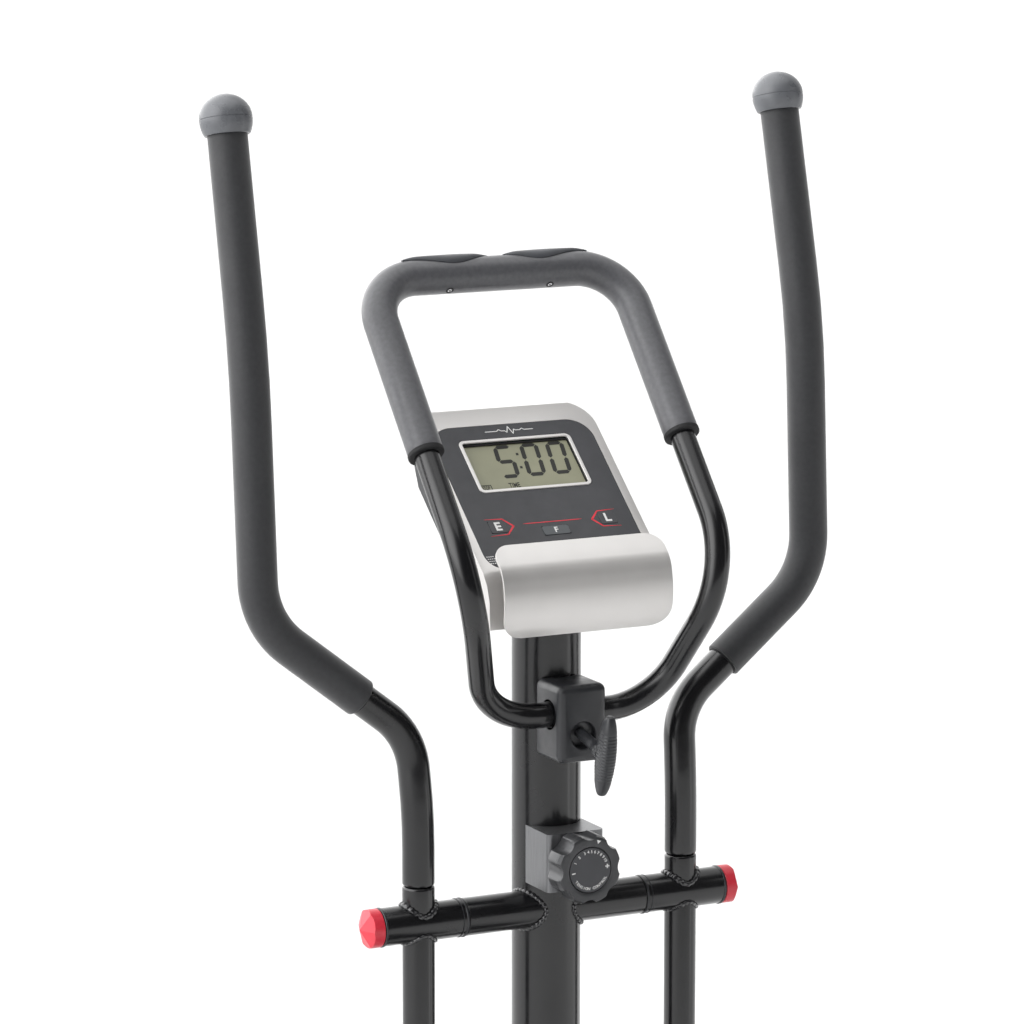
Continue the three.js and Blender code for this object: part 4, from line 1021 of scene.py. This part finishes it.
for node, letter, size, look, grow in (("button_e", "E", 12.5, "face_slate", 0.3),
                                       ("button_l", "L", 12.5, "face_slate", 0.3),
                                       ("button_f", "F", 8.2, key_skin, 0.1)):
    lo, hi = low(node), high(node)
    cx, half_w = (lo.x + hi.x) / 2, (hi.x - lo.x) / 2
    corner = [(Vector(v.co) * 1000 - CONSOLE) for v in nodes[node].data.vertices]
    s_lo, s_hi = min(c.dot(S_AXIS) for c in corner), max(c.dot(S_AXIS) for c in corner)
    cs = (s_lo + s_hi) / 2
    body = body_of[node]
    cap_ = Shape()
    plan = corners(cx - half_w - grow, cx + half_w + grow, s_lo - grow, s_hi + grow, [1.6] * 4, 6)
    stem_ = corners(cx - half_w, cx + half_w, s_lo, s_hi, [1.2] * 4, 6)
    cap_.add(*prism(stem_, CONSOLE, X, S_AXIS, -8, 0.1))
    cap_.add(*prism(plan, CONSOLE, X, S_AXIS, 0.06 if grow > 0.5 else -1.0, 0.45))
    cap_.make(f"{node}_cap", look, body, "face_slate", replaces=[node], bevel=0.3, steps=3)
    marks = shifted(glyphs(letter, size, 0.42 if size > 9 else 0.2), cx, cs)
    print_on(f"{node}_letter", marks, lambda a, s, h: on_face(a, s, 0.44 + h), white_ink, body, 0.08)

# back of the console: battery door, screws
door = Shape().add(*prism(corners(-33, 33, 14, 62, [4] * 4, 6), CONSOLE, X, S_AXIS, -45.1, -43.5))
door.make("battery_door", "satin_black", "frame", bevel=0.7)
ribs = Shape()
for k in range(7):
    s = 50 + k * 1.5
    ribs.add(*prism(corners(-12, 12, s, s + 0.8, [0.3] * 4, 3), CONSOLE, X, S_AXIS, -45.6, -45.0))
ribs.make("battery_door_grip", "satin_black", "frame", bevel=0.15, steps=2)
back_screws = Shape()
for a, s in ((-70, 58), (70, 58), (-70, -66), (70, -66)):
    back_screws.add(*screw_head(on_face(a, s, -43.9), -N_AXIS, 3.4, 1.5))
back_screws.make("console_screws", chrome, "frame", "bright_steel")

# ------------------------------------------------------------------ floor frame
refined("main_beam", 1.6, steps=3)
BEAM_HALF, BEAM_LOW, BEAM_TOP = 20, 58, 118
for end, y, way in (("front", high("main_beam").y, 1), ("rear", low("main_beam").y, -1)):
    plug = Shape()
    for inset, y0, y1 in ((-0.4, 0, 4), (6, 3.5, 4.8)):
        near, far = sorted((y + way * y0, y + way * y1))
        plug.add(*block((inset - BEAM_HALF, near, BEAM_LOW + inset),
                        (BEAM_HALF - inset, far, BEAM_TOP - inset)))
    plug.make(f"beam_plug_{end}", "satin_black", "frame", bevel=1.1)

for node, sign in (("front_stabilizer", 1), ("rear_stabilizer", -1)):
    c = centre(node)
    reach, r = high(node).x, (high(node).z - low(node).z) / 2
    Shape().add(*sweep([(-reach, c.y, c.z), (reach, c.y, c.z)], r, 64, 1.0)).make(
        f"{node}_tube", "black_gloss", "frame", replaces=[node])
    nuts = Shape()
    for dx in (-9, 9):
        at = Vector((dx, c.y, BEAM_TOP))
        nuts.add(*lathe([(7.4, 0), (7.4, 1.3), (6.9, 1.6), (0.01, 1.6)], at, Z, 40))
        nuts.add(*lathe([(5.9, 0), (5.9, 4.6), (5.3, 5.2), (4.6, 6.6), (3.0, 8.6), (1.2, 9.6),
                         (0.01, 9.7)], at + Z * 1.5, Z, 48,
                        shape=lambda a, r_, h: (r_ / math.cos((a % (math.pi / 3)) - math.pi / 6)
                                                * 0.9 if 0 <= h < 4.9 and r_ > 5 else r_, h)))
    nuts.make(f"{node}_nuts", chrome, "frame", "bright_steel")
    for side in (-1, 1):
        ring = [Vector((side * 20.8, c.y + (r + 0.4) * math.sin(a), c.z + (r + 0.4) * math.cos(a)))
                for a in (k * math.pi / 60 - 1.05 for k in range(41))]
        thick = Shape().add(*sweep(ring, lambda at_, all_: 1.9 + 0.5 * math.sin(at_ * 1.3) ** 2, 10, 0.6))
        thick.make(f"{node}_weld_{'left' if side < 0 else 'right'}", weld_skin, "frame",
                   "black_gloss")

collar = Shape().add(*lathe([(30.5, -4), (35.6, -4), (36.2, -3.2), (36.2, 0.6), (35.4, 1.6),
                               (31.2, 1.6), (30.5, 0.8)], (0, HEAD.y, 250), Z, 80, closed=True))
collar.make("socket_collar", "satin_black", "frame")
bolts = Shape()
for z in (165, 215):
    for way in (-Y, X, -X):
        at = Vector((0, HEAD.y, z)) + way * 34.6
        bolts.add(*lathe([(8.2, 0), (8.2, 1.2), (7.7, 1.6), (0.01, 1.6)], at, way, 40))
        bolts.add(*screw_head(at + way * 1.4, way, 6.2, 3.8))
bolts.make("socket_bolts", chrome, "frame", "bright_steel")

for word in ("left", "right"):
    refined(f"front_foot_{word}", 1.8, steps=3, look=deck_skin)
    refined(f"rear_foot_{word}", 2.2, steps=3, look=deck_skin)
    w_ = centre(f"wheel_{word}")
    half_w = (high(f"wheel_{word}").x - low(f"wheel_{word}").x) / 2
    R = (high(f"wheel_{word}").z - low(f"wheel_{word}").z) / 2
    tread = [(R - 8.5, -half_w + 0.4), (R - 3.6, -half_w), (R - 1.2, -half_w + 1.4),
             (R, -half_w + 4.2), (R, -3.4), (R - 1.1, -2.8), (R - 1.1, -1.6), (R, -1.0),
             (R, 1.0), (R - 1.1, 1.6), (R - 1.1, 2.8), (R, 3.4), (R, half_w - 4.2),
             (R - 1.2, half_w - 1.4), (R - 3.6, half_w), (R - 8.5, half_w - 0.4)]
    Shape().add(*lathe(tread, w_, X, 72, closed=True)).make(
        f"wheel_tyre_{word}", "tyre_rubber", f"{word}_wheel", replaces=[f"wheel_{word}"])

    def spoked(a, r, h):
        dip = 1.6 if 9.5 < r < R - 11.5 and math.cos(5 * a) < 0.55 else 0.0
        return r, h - math.copysign(dip, h)
    hub = [(5.1, -half_w + 0.6), (8.6, -half_w + 0.6), (9.2, -half_w + 1.6), (10.5, -half_w + 2.0),
           (R - 12, -half_w + 2.0), (R - 10.5, -half_w + 1.2), (R - 8.4, -half_w + 0.8),
           (R - 8.4, half_w - 0.8), (R - 10.5, half_w - 1.2), (R - 12, half_w - 2.0),
           (10.5, half_w - 2.0), (9.2, half_w - 1.6), (8.6, half_w - 0.6), (5.1, half_w - 0.6)]
    Shape().add(*lathe(hub, w_, X, 80, closed=True, shape=spoked)).make(
        f"wheel_hub_{word}", "ball_grey", f"{word}_wheel")

# ------------------------------------------------------------------ drive and its housing
refined("drive_bracket", 0.6)
refined("crank_axle", 0.8)
refined("drive_pulley", 0.8)
refined("flywheel", 1.4)
refined("belt", 0.3)
refined("magnet_bracket", 0.5)
refined("tension_cable", 0, sharp=50)
for side, word in ((-1, "left"), (1, "right")):
    refined(f"housing_{word}", 3.6, sharp=40, steps=5)
    face_x = side * high("housing_right").x
    at = Vector((face_x, CRANK.y, CRANK.z))
    disc = Shape().add(*lathe([(15, -0.5), (15, 2.6), (17, 3.2), (30, 3.4), (33, 2.6), (36, 2.2),
                               (84, 2.6), (88, 3.3), (98, 3.3), (101.5, 2.6), (103, 1.0),
                               (103, -0.5)], at, X * side, 128, closed=True))
    disc.make(f"housing_disc_{word}", "ball_grey", "frame")
    Shape().add(*lathe([(84.6, 2.7), (85.2, 3.7), (87.4, 3.7), (88, 2.7)], at, X * side, 128,
                       closed=True)).make(f"housing_ring_{word}", "red_plastic", "frame")
    seal = Shape().add(*lathe([(9.3, -0.5), (14.6, -0.5), (14.6, 2.2), (13.6, 3.0), (10.4, 3.0),
                               (9.3, 2.0)], at, X * side, 64, closed=True))
    seal.make(f"axle_seal_{word}", "tyre_rubber", "frame")
    vents = Shape()
    fly = centre("flywheel")
    for k in range(7):
        z = fly.z - 50 + k * 15
        reach = 34 - abs(k - 3) * 5
        slat = [(-reach, -1.8), (reach, -1.8), (reach + 1.6, 0), (reach, 1.8), (-reach, 1.8),
                (-reach - 1.6, 0)]
        if side < 0:
            slat = slat[::-1]
        base = Vector((face_x, -34 + k * 3, z))
        d = (-0.4, 2.4) if side > 0 else (-2.4, 0.4)
        vents.add(*prism(slat, base, Y, Z, *d))
    vents.make(f"housing_louvres_{word}", "black_gloss", "frame", bevel=0.8)
    pins = Shape()
    for y, z in ((-365, 112), (-190, 112), (-10, 112), (55, 205), (62, 340), (-60, 424),
                 (-200, 434), (-330, 428), (-420, 360), (-426, 250)):
        inside = Vector((face_x, y + (12 if y < -300 else -12 if y > 0 else 0), z))
        pins.add(*screw_head(inside, X * side, 3.6, 1.6))
    pins.make(f"housing_screws_{word}", chrome, "frame", "bright_steel")

    refined(f"crank_arm_{word}", 1.5, steps=3)
    hub_cap = Shape().add(*lathe([(0.01, 0), (11.5, 0), (11.5, 0.8), (10.4, 1.5), (6, 1.8),
                                  (0.01, 1.8)], (side * 74.6, CRANK.y, CRANK.z), X * side, 64))
    hub_cap.make(f"crank_cap_{word}", "satin_black", "crank")

# ------------------------------------------------------------------ pedal tubes and foot plates
FRONT_Y = AXLE.y
DECK_LOW, DECK_TOP, RIM_LOW, RIM_TOP = 20.3, 32.3, 36.3, 54.3


def rim_height(b):
    """A foot plate's rim is low beside the foot and rises in front of it."""
    if b < 65:
        return RIM_LOW
    return min(RIM_LOW + 14 * min(b - 65, 80) / 80 + 0.45 * max(b - 145, 0), RIM_TOP)


def with_side_points(outline, steps=10, each=26):
    """Rounded corners' outline with extra points on its four straight sides."""
    out = []
    for i, (p, q) in enumerate(zip(outline, outline[1:] + outline[:1])):
        parts = each if (i + 1) % (steps + 1) == 0 else 1
        out += [(p[0] + (q[0] - p[0]) * k / parts, p[1] + (q[1] - p[1]) * k / parts)
                for k in range(parts)]
    return out


def foot_tray(place, side):
    """A foot plate: a thick floor inside a rim, as one closed shape."""
    near, far = sorted((side * -50.5, side * 79.5))
    edge = with_side_points(corners(near, far, -125, 205, [28, 28, 40, 40]))
    well = with_side_points(corners(near + 4, far - 4, -121, 201, [24, 24, 36, 36]))
    levels = [(edge, lambda b: DECK_LOW), (edge, rim_height), (well, rim_height),
              (well, lambda b: DECK_TOP)]
    verts = [place(a, b, height(b)) for outline, height in levels for a, b in outline]
    return Shape().add(verts, tube_faces(len(levels), len(edge)))


for side, word in ((-1, "left"), (1, "right")):
    x = side * ARM_X
    body = f"{word}_pedal"
    pin = centre(f"crank_pin_{word}")
    rear, ahead = Vector((x, pin.y, pin.z)), Vector((x, FRONT_Y, PIVOT_Z))
    along = (ahead - rear).normalized()
    beam = Shape()
    beam.add(*sweep([rear, ahead - along * 28], 16, 56, 1.6))
    beam.add(*sweep([(x - 15.5, FRONT_Y, PIVOT_Z), (x + 15.5, FRONT_Y, PIVOT_Z)], 14.5, 48, 0.9))
    beam.add(*sweep([(side * 82, pin.y, pin.z), (side * 152, pin.y, pin.z)], 17, 56, 1.2))
    beam.make(f"pedal_beam_{word}", "black_gloss", body, replaces=[f"pedal_tube_{word}"])
    lug = Shape().add(*block((x - 12, FRONT_Y - 33, PIVOT_Z - 8), (x + 12, FRONT_Y - 6, PIVOT_Z + 8)))
    lug.make(f"pedal_lug_{word}", "black_gloss", body, bevel=2.2)
    tilt = math.atan2(ahead.z - rear.z, ahead.y - rear.y)
    deck_y = Vector((0, math.cos(tilt), math.sin(tilt)))
    deck_z = Vector((0, -math.sin(tilt), math.cos(tilt)))
    mid = rear.lerp(ahead, 0.42)

    def on_deck(a, b, c):
        return mid + X * a + deck_y * b + deck_z * c
    seat = Shape().add(*prism(corners(-26, 26, -60, 60, [5] * 4, 5), mid, X, deck_y, 8, 20))
    seat.make(f"pedal_seat_{word}", "black_gloss", body, bevel=0.9)
    turn_ = any_normal(along)
    other = along.cross(turn_)
    welds = Shape()
    at = rear + along * 17.5
    welds.add(*weld([at + (turn_ * math.cos(a) + other * math.sin(a)) * 16.4
                     for a in (2 * math.pi * k / 100 for k in range(100))], 2.1, 26))
    welds.make(f"pedal_weld_{word}", weld_skin, body, "black_gloss")
    refined(f"crank_pin_{word}", 1.0, steps=3)
    tray = foot_tray(on_deck, side)
    tray.make(f"footplate_{word}_finish", deck_skin, body, slot_of[f"footplate_{word}"],
              replaces=[f"footplate_{word}"], sharp=30, bevel=1.3, steps=4)
    grip_ribs, floor_z = Shape(), DECK_TOP
    a0, a1 = (-44, 73) if side > 0 else (-73, 44)
    for row in range(17):
        b = -104 + row * 17
        offset = 0 if row % 2 else 13
        cells = 4 if row % 2 else 5
        for cell in range(cells):
            c = a0 + 14 + cell * 29 - offset + 2
            if c - 11 < a0 - 1 or c + 11 > a1 + 3 or b > 172:
                if offset == 0 or cell in (0, cells - 1):
                    continue
            if b > 150 and (c < a0 + 24 or c > a1 - 20):
                continue
            pill = corners(c - 10, c + 10, b - 2.6, b + 2.6, [2.5] * 4, 4)
            grip_ribs.add(*prism(pill, mid, X, deck_y, floor_z - 0.5, floor_z + 2.2))
    grip_ribs.make(f"footplate_treads_{word}", "tyre_rubber", body, "satin_black", bevel=0.8,
                   steps=3)
    deck_bolts = Shape()
    for a in (-16, 16):
        for b in (-43, 43):
            deck_bolts.add(*screw_head(on_deck(a, b, floor_z - 0.2), deck_z, 5.6, 3.2))
    deck_bolts.make(f"footplate_bolts_{word}", chrome, body, "bright_steel")

# ------------------------------------------------------------------ floor, light and camera
mesh = bpy.data.meshes.new("floor")
mesh.from_pydata([(-60, -60, 0), (60, -60, 0), (60, 60, 0), (-60, 60, 0)], [], [(0, 1, 2, 3)])
floor = bpy.data.objects.new("floor", mesh)
scene.collection.objects.link(floor)
mesh.materials.append(floor_skin.material)

AZIMUTH, PITCH = math.radians(26.5), math.radians(9.9)
look = Vector((math.sin(AZIMUTH) * math.cos(PITCH), math.cos(AZIMUTH) * math.cos(PITCH),
               -math.sin(PITCH)))
right = Vector((math.cos(AZIMUTH), -math.sin(AZIMUTH), 0))
up = right.cross(look)
REACH, ASIDE, ABOVE = 4.0087, 0.029615, 0.340568
camera = bpy.data.cameras.new("camera")
camera.lens = 161.8
camera.sensor_width = 36
camera.clip_start, camera.clip_end = 0.1, 200
eye = bpy.data.objects.new("camera", camera)
scene.collection.objects.link(eye)
eye.location = HEAD / 1000 - look * REACH - right * ASIDE + up * ABOVE
eye.rotation_mode = "QUATERNION"
eye.rotation_quaternion = look.to_track_quat("-Z", "Y")
scene.camera = eye


def softbox(name, at, aim, size, radiance):
    lamp = bpy.data.lights.new(name, "AREA")
    lamp.shape = "RECTANGLE"
    lamp.size, lamp.size_y = size
    lamp.energy = radiance * math.pi * size[0] * size[1]
    obj = bpy.data.objects.new(name, lamp)
    obj.location = at
    obj.rotation_mode = "QUATERNION"
    obj.rotation_quaternion = (Vector(aim) - Vector(at)).to_track_quat("-Z", "Y")
    scene.collection.objects.link(obj)


middle = Vector((0, 0.33, 1.1))
softbox("left_box", middle + Vector((-2.6, -0.4, 1.6)), middle, (2.6, 2.6), 0.9)
softbox("right_strip", middle + Vector((2.6, -1.9, 0.5)), middle, (0.5, 3.2), 0.9)
softbox("top_box", middle + Vector((0.2, -0.2, 3.2)), middle, (3.0, 3.0), 1.0)

# The room is bright on the left and behind, and dark in front on the right.
world = bpy.data.worlds.new("studio")
scene.world = world
world.use_nodes = True
tree = world.node_tree
back = tree.nodes["Background"]
where = tree.nodes.new("ShaderNodeTexCoord")


def facing(direction, lo, hi, from_, to):
    """A smooth change of value as the view turns toward direction."""
    toward = tree.nodes.new("ShaderNodeVectorMath")
    toward.operation = "DOT_PRODUCT"
    toward.inputs[1].default_value = direction
    tree.links.new(where.outputs["Generated"], toward.inputs[0])
    spread = tree.nodes.new("ShaderNodeMapRange")
    spread.interpolation_type = "SMOOTHSTEP"
    spread.inputs["From Min"].default_value = lo
    spread.inputs["From Max"].default_value = hi
    spread.inputs["To Min"].default_value = from_
    spread.inputs["To Max"].default_value = to
    tree.links.new(toward.outputs["Value"], spread.inputs["Value"])
    return spread.outputs["Result"]


dark = facing((0.41, -0.91, 0), 0.05, 0.55, 1.0, 0.10)
bright = facing((-0.76, 0.65, 0), -0.1, 0.7, 1.0, 3.0)
both = tree.nodes.new("ShaderNodeMath")
both.operation = "MULTIPLY"
tree.links.new(dark, both.inputs[0])
tree.links.new(bright, both.inputs[1])
tree.links.new(both.outputs[0], back.inputs["Strength"])
back.inputs["Color"].default_value = (1, 1, 1, 1)
scene.view_settings.view_transform = "Standard"
scene.view_settings.look = "None"
